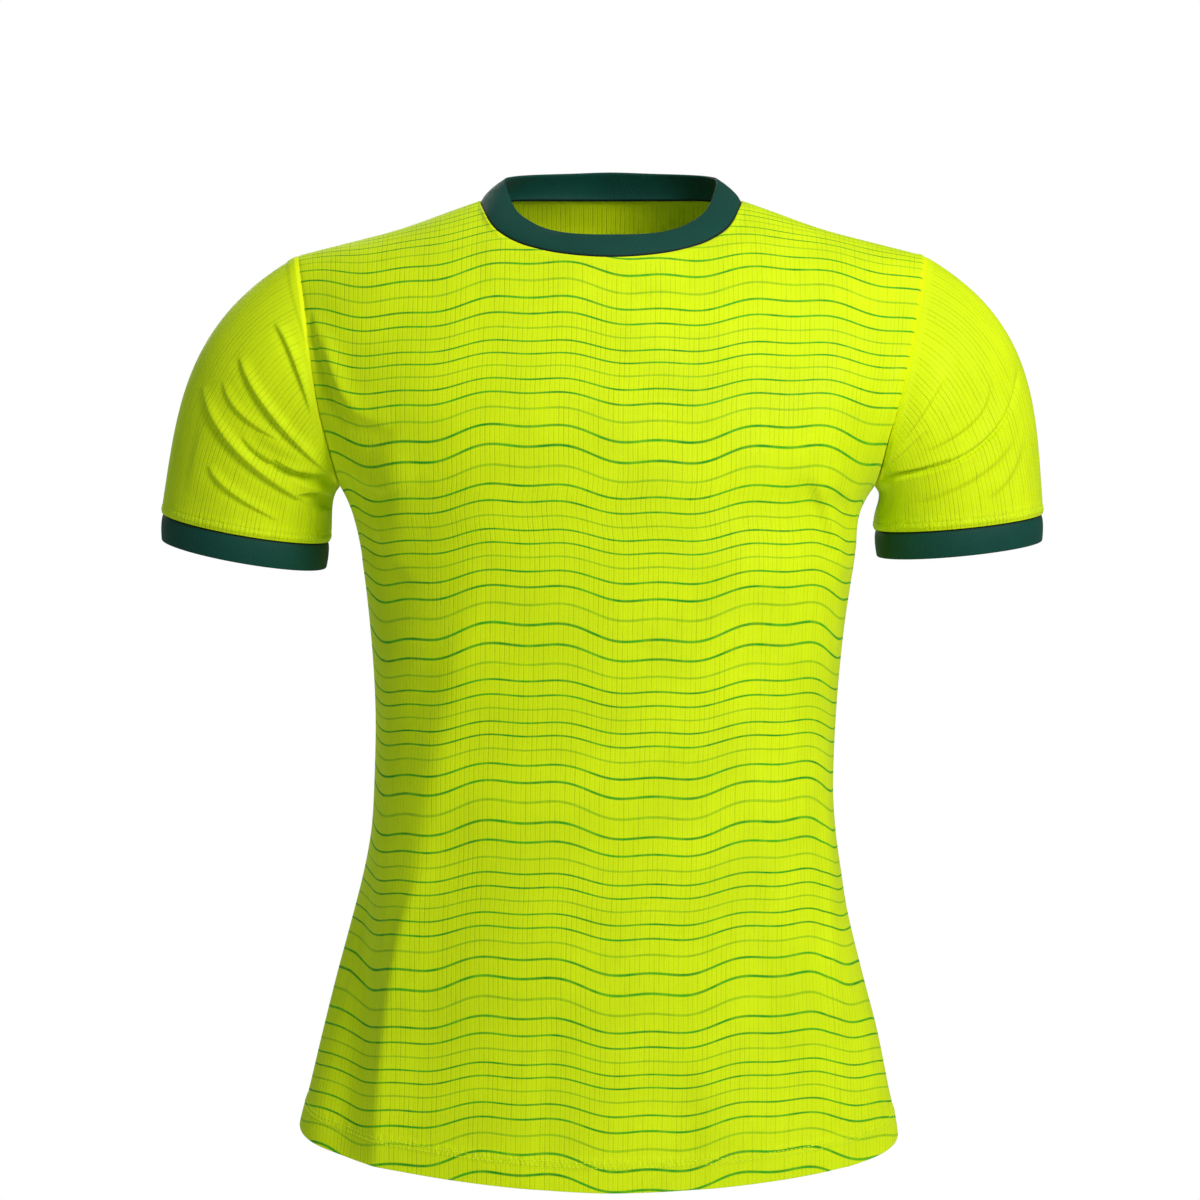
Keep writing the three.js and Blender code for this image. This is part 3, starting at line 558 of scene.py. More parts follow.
def sleeve_points(sleeve, panels):
    """Rows of outer points of a sleeve, each a closed loop, from the armhole to the hem, its way
    down at the hem, and the share of the way round of each column. The front is the finer half."""
    loop = armhole_loop(panels, sleeve["side"])
    front = np.arange(0, YOKE_ROWS, SLEEVE_FRONT_STEP)
    steps = np.concatenate([front, np.arange(YOKE_ROWS, len(loop), SLEEVE_BACK_STEP)])
    below = np.floor(steps).astype(int)
    start = lerp(loop[below], loop[(below + 1) % len(loop)], (steps - below)[:, None])
    middle, outward, forward = (
        np.array(sleeve[key], float) for key in ("middle", "outward", "forward")
    )
    down = sleeve["side"] * unit(np.cross(outward, forward))
    around = np.concatenate([SLEEVE_COURSE["quarter"][-1:] - 4, SLEEVE_COURSE["quarter"], [4, 4.5]])
    rows = np.arange(-1, len(SLEEVE_COURSE["quarter"]) + 2) % len(SLEEVE_COURSE["quarter"])
    quarter = 4 * steps / len(loop)
    out, ahead, up, reach = (
        follow(around, SLEEVE_COURSE[k][rows])(quarter) for k in ("out", "forward", "up", "reach")
    )
    angle = quarter * math.pi / 2
    to = middle - np.cos(angle)[:, None] * outward + np.sin(angle)[:, None] * forward
    leave = np.stack([sleeve["side"] * out, -ahead, up], axis=-1)
    arrive = reach[:, None] * down
    t = np.linspace(0, 1, SLEEVE_ROWS + 1)[:, None, None]
    points = (
        (1 + 2 * t) * (1 - t) ** 2 * start
        + t * (1 - t) ** 2 * leave
        + t * t * (3 - 2 * t) * to
        - t * t * (1 - t) * arrive
    )
    return points, down, quarter / 4


def normals_of(points, closed, turn):
    """Outward normals of a net of points."""
    if closed:
        along = np.roll(points, -1, axis=1) - np.roll(points, 1, axis=1)
    else:
        along = np.gradient(points, axis=1)
    return unit(np.cross(along, np.gradient(points, axis=0)) * turn)


def crease_depth(crease, x, z):
    """Height of one crease at places seen from the front: a trough or ridge alone, or a trough
    that rises steeply to a lip, each with a gentle far side."""
    start, through, end = np.array(crease[:6], float).reshape(3, 2)
    width, depth, lip = crease[6:]
    bend = 2 * through - (start + end) / 2
    t = np.linspace(0, 1, FOLD_STEPS + 1)[:, None]
    line = (1 - t) ** 2 * start + 2 * t * (1 - t) * bend + t * t * end
    nearest = np.full(x.shape, np.inf)
    along = np.zeros(x.shape)
    side = np.ones(x.shape)
    for k in range(FOLD_STEPS):
        step = line[k + 1] - line[k]
        dx, dz = x - line[k, 0], z - line[k, 1]
        share = np.clip((dx * step[0] + dz * step[1]) / (step @ step), 0, 1)
        distance = np.hypot(dx - share * step[0], dz - share * step[1])
        closer = distance < nearest
        nearest = np.where(closer, distance, nearest)
        along = np.where(closer, (k + share) / FOLD_STEPS, along)
        side = np.where(closer, np.sign(step[0] * dz - step[1] * dx), side)
    ends = np.clip(np.sin(math.pi * along), 0, 1) ** FOLD_END_POWER
    if not lip:
        return -depth * np.exp(-((FOLD_NARROWING * nearest / width) ** 2)) * ends
    place = -np.sign(lip) * side * nearest / width
    steep = lerp(-depth, abs(lip), smoothstep(place, -0.5, 0.5))
    return steep * np.exp(-((np.maximum(0, np.abs(place) - 0.5) / LIP_REACH) ** 2)) * ends


def fold_depth(piece, points, normals):
    """Height of all creases of a piece over its net."""
    total = np.zeros(points.shape[:-1])
    facing = np.minimum(1, np.abs(normals[..., 1]) * FOLD_TURN)
    for (name, face), creases in CREASES.items():
        if name != piece:
            continue
        on_face = facing * (np.sign(normals[..., 1]) == face)
        for crease in creases:
            total += on_face * crease_depth(crease, points[..., 0], points[..., 2])
    return total


def with_edges(points, ends):
    """Net with extra rows beside its first and last row, and extra columns where asked."""
    for axis, (low, high) in enumerate(ends):
        last = points.shape[axis] - 1
        places = list(range(last + 1))
        places += [p for p in EDGE_PLACES if low] + [last - p for p in EDGE_PLACES if high]
        places = np.array(sorted(places), float)
        below = np.minimum(np.floor(places).astype(int), last - 1)
        share = (places - below).reshape([-1 if k == axis else 1 for k in range(3)])
        points = lerp(np.take(points, below, axis), np.take(points, below + 1, axis), share)
    return points


def edge_distance(points, axis, from_end=False):
    """Distance of each point of a net from its first or last row or column."""
    order = slice(None, None, -1 if from_end else 1)
    run = run_lengths(np.moveaxis(points, axis, 0)[order])[order]
    return np.moveaxis(run, 0, axis)


def groove(distance):
    return -GROOVE_DEPTH * np.exp(-((distance / GROOVE_WIDTH) ** 2))


def turned_hem(hem, height):
    """Height of a turned-up hem, with the dent of its stitch line."""
    step = HEM_STEP * (1 - smoothstep(hem, height - HEM_SLOPE, height + HEM_SLOPE))
    return step - STITCH_DENT * np.exp(-(((hem - height) / STITCH_DENT_WIDTH) ** 2))


def relaxed(points):
    """Net with its rows smoothed along, except near its top edge and sides."""
    smooth = points.copy()
    for _ in range(RELAXING_ROUNDS):
        smooth[:, 1:-1] = (smooth[:, :-2] + 2 * smooth[:, 1:-1] + smooth[:, 2:]) / 4
    side = np.minimum(edge_distance(points, 1), edge_distance(points, 1, True))
    top = edge_distance(points, 0, True)
    share = smoothstep(top, 0, RELAXED_BEYOND) * smoothstep(side, 0, RELAXED_BEYOND)
    share *= points[..., 2] > YOKE_Z
    return lerp(points, smooth, share[..., None])


def finished_net(name, points, normals, height, closed, turn, **others):
    """Net raised by its creases and seams, with its normals and what else belongs to it."""
    moved = points + normals * height[..., None]
    normals = normals_of(moved, closed, turn)
    return {"name": name, "points": moved, "normals": normals, "closed": closed, **others}


def panel_net(name, face):
    """Final outer net of a panel, with its flat places and distances from its edges."""
    points = with_edges(relaxed(panel_points(face)), ((True, True), (True, True)))
    normals = normals_of(points, False, -face)
    left = edge_distance(points, 1, True)
    side = np.minimum(edge_distance(points, 1), left)
    top = edge_distance(points, 0, True)
    hem = edge_distance(points, 0)
    in_trunk = np.where(points[..., 2] < UNDERARM_Z, 1.0, 0.0)
    fade = lerp(smoothstep(side, *SEAM_FADE), smoothstep(side, *SIDE_FADE), in_trunk)
    height = fold_depth(name, points, normals) * fade * smoothstep(top, *SEAM_FADE)
    height += groove(side) + groove(top) + strip(left, points[..., 2], PANEL_STRIP)
    height += turned_hem(hem, BOTTOM_HEM)
    maps = {"flat": flat_places(points, face), "edges": np.stack([hem, np.minimum(side, top)], -1)}
    return finished_net(name, points, normals, height, False, -face, **maps)


def flat_places(points, face):
    """Places on the flat cut of a panel: across along a level section from the middle, and up
    along the trunk's height and the turn over the shoulder."""
    x, z = points[..., 0], points[..., 2]
    offset = x - trunk_centre(z)
    half, power = trunk_half(z), trunk_squareness(z)
    deep = trunk_depth[face](z) * closing(rise_at(x, z))
    reach = math.pi / 2 - np.arccos(np.clip(np.abs(offset) / half, 0, 1) ** (power / 2))
    angle = math.pi / 2 - reach * np.linspace(0, 1, FLAT_STEPS + 1)[:, None, None]
    wide, high = superellipse(angle, power)
    across = np.sign(offset) * run_lengths(np.stack([half * wide, deep * high], -1))[-1]
    rise = np.clip(rise_at(x, z), 0, 1)
    turned = turn_share(np.arcsin(rise ** (SHOULDER_POWER / 2)))
    climb = turned * turn_length / SHOULDER_HIGH
    up = np.where(z > YOKE_Z, YOKE_Z + (ridge_height(np.abs(x)) - YOKE_Z) * climb, z)
    return np.stack([across, up], axis=-1)


def strip(distance, z, look):
    """Height of the strip that a seam allowance raises beside a seam."""
    shown = smoothstep(z, look["to"], look["from"])
    width = look["width"] * shown
    edge = smoothstep(distance, width - STRIP_EDGE, width + STRIP_EDGE)
    return look["height"] * np.minimum(1, shown * STRIP_RISE) * (1 - edge)


def lowest_near(height):
    """Height over a sleeve's net, lowered to the lowest in the rows and columns next to it."""
    low = height.copy()
    for axis in (0, 1):
        shifted = [np.roll(low, shift, axis) for shift in range(-LOWEST_REACH, LOWEST_REACH + 1)]
        low = np.min(shifted, axis=0)
    low[0], low[-1] = height[0], height[-1]
    return low


def sleeve_net(sleeve, panels):
    points, down, share = sleeve_points(sleeve, panels)
    points = with_edges(points, ((True, True), (False, False)))
    turn = -sleeve["side"]
    normals = normals_of(points, True, turn)
    seam = edge_distance(points, 0)
    hem = edge_distance(points, 0, True)
    fade = smoothstep(np.minimum(seam, hem), *SEAM_FADE)
    height = fold_depth(sleeve["name"], points, normals) * fade
    height += groove(seam) + groove(hem)
    if sleeve["side"] == RIGHT:
        height += strip(seam, points[..., 2], SLEEVE_STRIP)
    height += turned_hem(hem, SLEEVE_HEM)
    perimeter = run_lengths(np.swapaxes(points, 0, 1))[-1].mean()
    along = -np.concatenate([seam, seam[:, :1]], axis=1)
    across = np.append(share, 1) * perimeter + 0 * along
    return finished_net(
        sleeve["name"] + "_cloth",
        points,
        normals,
        height,
        True,
        turn,
        inner=points + normals * (lowest_near(height) - KNIT_WALL)[..., None],
        flat=np.stack([across, along], axis=-1),
        edges=np.stack([np.concatenate([d, d[:, :1]], axis=1) for d in (hem, seam)], axis=-1),
        down=down,
        sleeve=sleeve,
        rim=points[-1],
    )


def add_object(name, data):
    made = bpy.data.objects.new(name, data)
    bpy.context.scene.collection.objects.link(made)
    return made


def make_object(name, vertices, faces, maps, material):
    """Mesh object from points in millimetres, faces and per-corner maps."""
    mesh = bpy.data.meshes.new(name)
    mesh.from_pydata((np.asarray(vertices) * MM).tolist(), [], faces)
    for map_name, corners in maps.items():
        layer = mesh.uv_layers.new(name=map_name)
        layer.data.foreach_set("uv", (np.asarray(corners) * MM).astype(np.float32).ravel())
    mesh.polygons.foreach_set("use_smooth", [True] * len(faces))
    mesh.materials.append(material)
    mesh.update()
    return add_object(name, mesh)


def tube_rows(net, wall):
    """Rows of points that run up the outer face, over the edge and down the inner face, and back
    round the first edge. Returns them with the row of the net that each belongs to."""
    points, normals = net["points"], net["normals"]
    last = len(points) - 1
    inner, inner_rows = points - normals * wall, [*range(last, -1, -1)]
    if net["closed"]:
        inner, inner_rows = net["inner"], [*range(last, 0, -INNER_STEP), 0]
    rows, sources = [*points], list(range(last + 1))

    def round_edge(row, inside):
        outward = unit(across_only(points[row] - points[inside], normals[row]))
        steps = range(1, ROUND_STEPS)
        for k in steps if row == last else reversed(steps):
            angle = math.pi * k / ROUND_STEPS
            rows.append(
                points[row]
                - normals[row] * wall / 2 * (1 - math.cos(angle))
                + outward * wall / 2 * math.sin(angle)
            )
            sources.append(row)

    round_edge(last, last - 1)
    rows.extend(inner[inner_rows])
    sources.extend(inner_rows)
    round_edge(0, 1)
    return np.array(rows), np.array(sources)


def ring_faces(count, columns, loops):
    """Row and column of the corners of each face of a grid whose last row meets its first, and the
    points there. The column after the last one has the points of the first."""
    row, column = np.meshgrid(np.arange(count), np.arange(loops), indexing="ij")
    rows = np.stack([row, row, row + 1, row + 1], -1).reshape(-1, 4) % count
    across = np.stack([column, column + 1, column + 1, column], -1).reshape(-1, 4)
    return rows, across, rows * columns + across % columns


def cloth_object(net, wall, material):
    """Thin closed shell behind a net of outer points."""
    points, sources = tube_rows(net, wall)
    count, columns = points.shape[:2]
    loops = columns if net["closed"] else columns - 1
    rows, across, quads = ring_faces(count, columns, loops)
    faces = quads.tolist()
    maps = {key: net[key][sources[rows], across].reshape(-1, 2) for key in ("flat", "edges")}
    if not net["closed"]:
        maps = add_side_caps(faces, maps, net, count, columns)
    return closed_object(net["name"], points, quads, faces, maps, material)


def add_side_caps(faces, maps, net, count, columns):
    """Closes the two sides of a panel between its outer and inner face. Returns the longer maps."""
    last = len(net["points"]) - 1
    behind = 2 * last + ROUND_STEPS  # the row of the inner face that lies behind row 0
    caps = [[j, behind - j, behind - j - 1, j + 1] for j in range(last)]
    caps += [[*range(last, last + ROUND_STEPS + 1)], [*range(behind, count), 0]]
    parts = {key: [values] for key, values in maps.items()}
    for column in (0, columns - 1):
        for cap in caps:
            face = [row * columns + column for row in cap]
            faces.append(face[::-1] if column else face)
            for key in maps:
                corner = net[key][min(last, cap[0]), column]
                parts[key].append(np.repeat(corner[None], len(face), axis=0))
    return {key: np.concatenate(values) for key, values in parts.items()}


def closed_object(name, points, quads, faces, maps, material):
    """Object of a closed grid of points, whose faces are turned round if they face inwards."""
    points = points.reshape(-1, 3)
    a, b, c, d = (points[quads[:, k]] for k in range(4))
    first = np.einsum("ij,ij->i", a, np.cross(b, c))
    second = np.einsum("ij,ij->i", a, np.cross(c, d))
    if (first + second).sum() < 0:
        faces = [face[::-1] for face in faces]
        ends = np.cumsum([len(face) for face in faces])[:-1]
        for key, values in maps.items():
            maps[key] = np.concatenate([corners[::-1] for corners in np.split(values, ends)])
    return make_object(name, points, faces, maps, material)


def band_net(seams, edges, normals, crown):
    """Sections round a band of doubled rib, and how far from the seam each of their points lies on
    the flat cut."""
    width = edges - seams
    reach = np.linalg.norm(width, axis=-1, keepdims=True)
    way = width / reach
    edge_normals = unit(across_only(normals, way))
    radius = RIB_WALL / 2
    straight = (reach - radius) / reach
    outside, inside, flat = [], [], []
    for k in range(BAND_ROWS + 1):
        share = k / BAND_ROWS
        normal = unit(lerp(normals, edge_normals, min(1, share * BAND_TURN)))
        bulge = crown * math.sin(math.pi * share)
        bulge -= GROOVE_DEPTH * math.exp(-((share * BAND_GROOVE) ** 2))
        point = seams + width * share * straight + edge_normals * bulge
        outside.append(point)
        inside.insert(0, point - normal * RIB_WALL)
        flat.append(share * reach[:, 0])
    centre = outside[-1] - edge_normals * radius
    rounding, flat_round = [], []
    for k in range(1, ROUND_STEPS):
        angle = math.pi * k / ROUND_STEPS
        rounding.append(centre + radius * (edge_normals * math.cos(angle) + way * math.sin(angle)))
        flat_round.append(reach[:, 0] + radius * angle)
    return np.array(outside + rounding + inside), np.array(flat + flat_round + flat[::-1])


def band_object(name, seams, edges, normals, crown, material):
    """Closed ring of doubled rib from a seam to a free edge."""
    sections, reach = band_net(seams, edges, normals, crown)
    run = run_lengths(np.concatenate([seams, seams[:1]]))
    count, columns = sections.shape[:2]
    rows, across, quads = ring_faces(count, columns, columns)
    flat = np.stack([run[across], reach[rows, across % columns]], -1).reshape(-1, 2)
    return closed_object(name, sections, quads, quads.tolist(), {"flat": flat}, material)


def path_at(net, distance, from_end):
    """Points and normals on a net at a distance from its first or last row."""
    order = slice(None, None, -1 if from_end else 1)
    runs = edge_distance(net["points"], 0, from_end)[order].T
    values = np.concatenate([net["points"], net["normals"]], axis=-1)[order]
    path = [
        [np.interp(distance, run, values[:, i, k]) for k in range(6)] for i, run in enumerate(runs)
    ]
    return np.split(np.array(path), 2, axis=1)


def stitch_row(path, normals, closed):
    """Vertices and faces of a row of stitches along a path on the cloth."""
    if closed:
        path = np.concatenate([path, path[:1]])
        normals = np.concatenate([normals, normals[:1]])
    run = run_lengths(path)
    count = max(int(run[-1] // STITCH_PITCH), 1)
    starts = (np.arange(count) + 0.5) * run[-1] / count - STITCH_LENGTH / 2
    t = np.linspace(0, 1, STITCH_SECTIONS)
    places = starts[:, None] + t * STITCH_LENGTH
    centre, normal = (
        np.stack([np.interp(places, run, values[:, k]) for k in range(3)], -1)
        for values in (path, normals)
    )
    normal = unit(normal)
    side = np.cross(normal, unit(centre[:, -1:] - centre[:, :1]) + 0 * normal)
    thick = STITCH_RADIUS * np.maximum(1 - (2 * t - 1) ** 4, STITCH_TIP) ** 0.5
    lift = STITCH_LIFT + STITCH_RADIUS * STITCH_ARCH * np.sin(math.pi * t)
    centre = centre + normal * lift[:, None]
    angle = 2 * math.pi * np.arange(STITCH_SIDES)[:, None] / STITCH_SIDES
    around = np.cos(angle) * side[:, :, None] + np.sin(angle) * normal[:, :, None]
    vertices = (centre[:, :, None] + thick[:, None, None] * around).reshape(-1, 3)
    faces = []
    for stitch in np.arange(len(vertices)).reshape(count, STITCH_SECTIONS, STITCH_SIDES).tolist():
        for low, high in zip(stitch, stitch[1:]):
            faces += [[low[m - 1], low[m], high[m], high[m - 1]] for m in range(STITCH_SIDES)]
        faces += [stitch[0][::-1], stitch[-1]]
    return vertices, faces


def stitches(name, net, heights, material):
    """Rows of stitches at heights above the hem, which is a panel's first row and a sleeve's last."""
    vertices, faces = [], []
    for height in heights:
        points, quads = stitch_row(*path_at(net, height, net["closed"]), net["closed"])
        base = len(vertices)
        faces += [[k + base for k in face] for face in quads]
        vertices += points.tolist()
    return make_object(name, vertices, faces, {}, material)


# Materials


def srgb(red, green, blue):
    """Linear colour from one as seen on a screen, 0 to 255."""

    def linear(value):
        value /= 255
        return value / 12.92 if value <= 0.04045 else ((value + 0.055) / 1.055) ** 2.4

    return (linear(red), linear(green), linear(blue), 1)


YELLOW = srgb(225, 243, 6)
# darker yellow for random mottle and speckle, and for painted shade in the rib grooves
YELLOW_MOTTLE_AND_GROOVE_SHADE = srgb(180, 204, 4)
YELLOW_SEAM_HIGHLIGHT = srgb(244, 252, 4)  # painted highlight beside a seam
YELLOW_THREAD = srgb(226, 248, 40)
PRINT_GREEN = srgb(24, 150, 24)
PRINT_LIGHT_GREEN = srgb(62, 176, 18)
BAND_GREEN = srgb(1, 63, 54)
BAND_GREEN_DARK = srgb(1, 46, 40)
# painted sheen, in spots over the bands
BAND_PAINTED_SHEEN = srgb(14, 108, 96)
BAND_SHADE = srgb(1, 14, 14)  # painted shade in the seam
FLOOR_PALE = srgb(236, 236, 234)
FLOOR_GREY = srgb(230, 230, 228)

# Smooth ramps: where each begins and ends, and what it gives there
RAMPS = {
    "rib_groove": (0.02, 0.2, 1.0, 0.0),  # in periods from its middle
    "fine_groove": (0.4, 0.5, 0.0, 0.35),
    "loop_shade": (-1.0, 0.4, 0.6, 1.0),
    "flat_by_seam": (0.005, 0.008, 0.25, 1.0),  # in metres from a seam or a stitch line
    # painted highlight beside a seam
    "seam_highlight": (0.0012, 0.0026, 0.7, 0.0),
    "pucker": (0.001, 0.006, 1.0, 0.0),
    "print_line": (PRINT_LINE * 0.3, PRINT_LINE * 0.8, 1.0, 0.0),
    "band_rib": (0.0, 0.5, 0.0, 1.0),
    # painted sheen, by the band's grain noise
    "band_painted_sheen": (0.45, 0.7, 0.0, 0.25),
    # painted shade beside the band's seam
    "band_seam_shade": (0.0008, 0.0022, 0.85, 0.0),
}
# Noise: its scale, its detail and a ramp of what it gives
CLOUDS = {
    "rib_strength": (1.0, 2.0, 0.34, 0.66, 0.35, 1.0),
    "mottle": (18.0, 4.0, 0.35, 0.65, 0.0, 0.2),
    "speckle": (900.0, 3.0, 0.35, 0.65, 0.0, 0.14),
    "knit_roughness": (30.0, 2.0, 0.3, 0.7, 0.62, 0.74),
    "print_tone": (40.0, 2.0, 0.35, 0.65, 0.0, 1.0),
    "print_wear": (90.0, 3.0, 0.3, 0.7, 0.8, 1.0),
    "band_tone": (45.0, 3.0, 0.3, 0.7, 0.1, 0.5),
    "thread_tone": (2500.0, 2.0, 0.3, 0.7, 0.0, 0.3),
    "floor_tone": (3.0, 2.0, 0.3, 0.7, 0.0, 0.3),
}
GRAIN = {"knit": 1500.0, "band": 1400.0, "thread": 2500.0, "floor": 300.0}  # scale of its noise
RELIEF = {"knit": 0.00022, "band": 0.00012, "thread": 0.0001, "floor": 0.0002}  # in metres
PUCKER = {"along": 2.2, "down": 0.7, "scale": 160.0, "detail": 1.0, "relief": 0.0011}
FINISH = {
    "knit": {"Sheen Weight": 0.04, "Sheen Roughness": 0.4, "Specular IOR Level": 0.16},
    "band": {"Roughness": 0.62, "Sheen Weight": 0.03, "Sheen Roughness": 0.45, "Specular IOR Level": 0.2},
    "thread": {"Roughness": 0.5, "Specular IOR Level": 0.4},
    "floor": {"Roughness": 0.8},
}
RIB_PLACE = (3.7, 22.0)  # steps from rib to rib and along a rib through the noise of its strength
PLAIN_RIBS = 1.35  # how much stronger ribs are where there is no print
# how far painted shade darkens the yellow in the rib grooves
GROOVE_PAINTED_SHADE = 0.6
HOLE_RELIEF = 0.16
GRAIN_RELIEF = 0.4
BAND_RIB_PERIOD = 0.0011
BAND_GRAIN_RELIEF = 0.5
THREAD_SHADE = 0.8


class Nodes:
    """Short ways to add shader nodes to a new material or world."""

    def __init__(self, name, kind="materials"):
        self.made = getattr(bpy.data, kind).new(name)
        self.made.use_nodes = True
        self.tree = self.made.node_tree
        self.tree.nodes.clear()

    def put(self, socket, value):
        if isinstance(value, bpy.types.NodeSocket):
            self.tree.links.new(value, socket)
        else:
            socket.default_value = value

    def add(self, kind, values=(), **settings):
        """Node with settings, and with values for its first inputs."""
        node = self.tree.nodes.new(kind)
        for key, value in settings.items():
            setattr(node, key, value)
        for socket, value in zip(node.inputs, values):
            self.put(socket, value)
        return node

    def named(self, kind, values, **settings):
        """Node with settings, and with values for inputs by their names."""
        node = self.add(kind, **settings)
        for name, value in values.items():
            self.put(node.inputs[name], value)
        return node

    def math(self, operation, *values):
        return self.add("ShaderNodeMath", values, operation=operation).outputs[0]

    def plus(self, first, second):
        return self.math("ADD", first, second)

    def minus(self, first, second):
        return self.math("SUBTRACT", first, second)

    def times(self, first, second):
        return self.math("MULTIPLY", first, second)

    def apart(self, first, second):
        return self.math("ABSOLUTE", self.minus(first, second))

    def wave(self, place, period, phase=0.0):
        return self.math("SINE", self.plus(self.times(place, 2 * math.pi / period), phase))

    def nearest(self, place, period):
        """Which period's middle is nearest, and how many periods away."""
        count = self.math("DIVIDE", place, period)
        middle = self.math("ROUND", count)
        return middle, self.apart(count, middle)

    def step(self, value, ramp):
        values = (value, *ramp)
        return self.add("ShaderNodeMapRange", values, interpolation_type="SMOOTHSTEP").outputs[0]

    def ramp(self, name, value):
        return self.step(value, RAMPS[name])

    def cloud(self, name, place):
        scale, detail, *ramp = CLOUDS[name]
        return self.step(self.noise(place, scale, detail), ramp)

    def mix(self, share, first, second):
        values = {"Factor": share, "A": first, "B": second}
        return self.named("ShaderNodeMix", values, data_type="RGBA").outputs["Result"]

    def map(self, name):
        uv = self.add("ShaderNodeUVMap", uv_map=name)
        parts = self.add("ShaderNodeSeparateXYZ", (uv.outputs[0],))
        return parts.outputs[0], parts.outputs[1]

    def place(self, x, y):
        return self.add("ShaderNodeCombineXYZ", (x, y, 0.0)).outputs[0]

    def noise(self, place, scale, detail=2.0):
        values = {"Vector": place, "Scale": scale, "Detail": detail}
        return self.named("ShaderNodeTexNoise", values).outputs["Fac"]

    def bump(self, height, distance, **normal):
        values = {"Strength": 1.0, "Distance": distance, "Height": height, **normal}
        return self.named("ShaderNodeBump", values).outputs[0]

    def grainy(self, kind, place):
        return self.bump(self.noise(place, GRAIN[kind]), RELIEF[kind])

    def finish(self, kind, color, normal, **others):
        values = {"Base Color": color, "Normal": normal, **FINISH[kind], **others}
        shader = self.named("ShaderNodeBsdfPrincipled", values)
        self.add("ShaderNodeOutputMaterial", (shader.outputs[0],))
        return self.made


def rib_grooves(n, u, v):
    """Painted shade and depth at a flat place from the grooves between ribs and a finer one amid them."""
    middle, away = n.nearest(u, RIB_PERIOD)
    grooves = n.plus(n.ramp("rib_groove", away), n.ramp("fine_groove", away))
    shape = n.times(grooves, n.ramp("loop_shade", n.wave(v, MESH_STEP, middle)))
    place = n.place(n.times(middle, RIB_PLACE[0]), n.times(v, RIB_PLACE[1]))
    return n.times(shape, n.cloud("rib_strength", place))


def print_lines(n, u, v):
    """Share of print at a flat place: wave lines that draw together and apart, each third faint."""
    gather, every = PRINT_GATHER
    height = n.plus(v, n.times(n.wave(v, every), gather))
    for wave_height, wave_length, phase in PRINT_WAVES:
        height = n.plus(height, n.times(n.wave(u, wave_length, phase), wave_height))
    middle, away = n.nearest(height, PRINT_SPACING)
    line = n.ramp("print_line", n.times(away, PRINT_SPACING))
    faint = n.math("LESS_THAN", n.math("ABSOLUTE", n.math("MODULO", middle, FAINT_EVERY)), 0.5)
    strength = n.minus(1.0, n.times(faint, FAINT_SHARE))
    return n.times(n.times(line, strength), n.cloud("print_wear", n.place(u, v)))


def knit_material(name, printed, stitch_line):
    n = Nodes(name)
    u, v = n.map("flat")
    hem, seam = n.map("edges")
    here = n.place(u, v)
    dark = n.times(rib_grooves(n, u, v), n.ramp("flat_by_seam", seam))
    if not printed:
        dark = n.times(dark, PLAIN_RIBS)
    color = n.mix(n.cloud("mottle", here), YELLOW, YELLOW_MOTTLE_AND_GROOVE_SHADE)
    # painted shade in the rib grooves
    color = n.mix(n.times(dark, GROOVE_PAINTED_SHADE), color, YELLOW_MOTTLE_AND_GROOVE_SHADE)
    color = n.mix(n.cloud("speckle", here), color, YELLOW_MOTTLE_AND_GROOVE_SHADE)
    # painted highlight beside a seam
    color = n.mix(n.ramp("seam_highlight", seam), color, YELLOW_SEAM_HIGHLIGHT)
    if printed:
        green = n.mix(n.cloud("print_tone", here), PRINT_GREEN, PRINT_LIGHT_GREEN)
        color = n.mix(print_lines(n, u, v), color, green)
    holes = n.times(n.times(n.wave(u, MESH_STEP), n.wave(v, MESH_STEP)), HOLE_RELIEF)
    grain = n.times(n.noise(here, GRAIN["knit"]), GRAIN_RELIEF)
    surface = n.minus(n.plus(holes, grain), dark)
    pucker_place = n.place(n.times(u, PUCKER["along"]), n.times(hem, PUCKER["down"]))
    pucker = n.noise(pucker_place, PUCKER["scale"], PUCKER["detail"])
    shown = n.ramp("pucker", n.apart(hem, stitch_line * MM))
    puckered = n.bump(n.times(pucker, shown), PUCKER["relief"])
    normal = n.bump(surface, RELIEF["knit"], Normal=puckered)
    return n.finish("knit", color, normal, Roughness=n.cloud("knit_roughness", here))


def band_material(name):
    n = Nodes(name)
    u, v = n.map("flat")
    here = n.place(u, v)
    rib = n.ramp("band_rib", n.nearest(u, BAND_RIB_PERIOD)[1])
    grain = n.noise(here, GRAIN["band"])
    color = n.mix(n.times(n.cloud("band_tone", here), rib), BAND_GREEN, BAND_GREEN_DARK)
    # painted sheen in spots
    color = n.mix(n.ramp("band_painted_sheen", grain), color, BAND_PAINTED_SHEEN)
    # painted shade along the seam
    color = n.mix(n.ramp("band_seam_shade", v), color, BAND_SHADE)
    height = n.plus(rib, n.times(grain, BAND_GRAIN_RELIEF))
    return n.finish("band", color, n.bump(height, RELIEF["band"]))


def thread_material(name):
    n = Nodes(name)
    place = n.add("ShaderNodeTexCoord").outputs["Object"]
    shade = (*(THREAD_SHADE * part for part in YELLOW_THREAD[:3]), 1)
    color = n.mix(n.cloud("thread_tone", place), YELLOW_THREAD, shade)
    return n.finish("thread", color, n.grainy("thread", place))


# Pieces


def collar_piece(material):
    front, back = neck_stations(FRONT), neck_stations(BACK)
    seams, edges = (np.concatenate([front[k], back[k][-2:0:-1]]) for k in range(2))
    along = np.roll(seams, -1, axis=0) - np.roll(seams, 1, axis=0)
    normals = unit(np.cross(along, edges - seams))
    return band_object("collar_band", seams, edges, normals, COLLAR_CROWN, material)


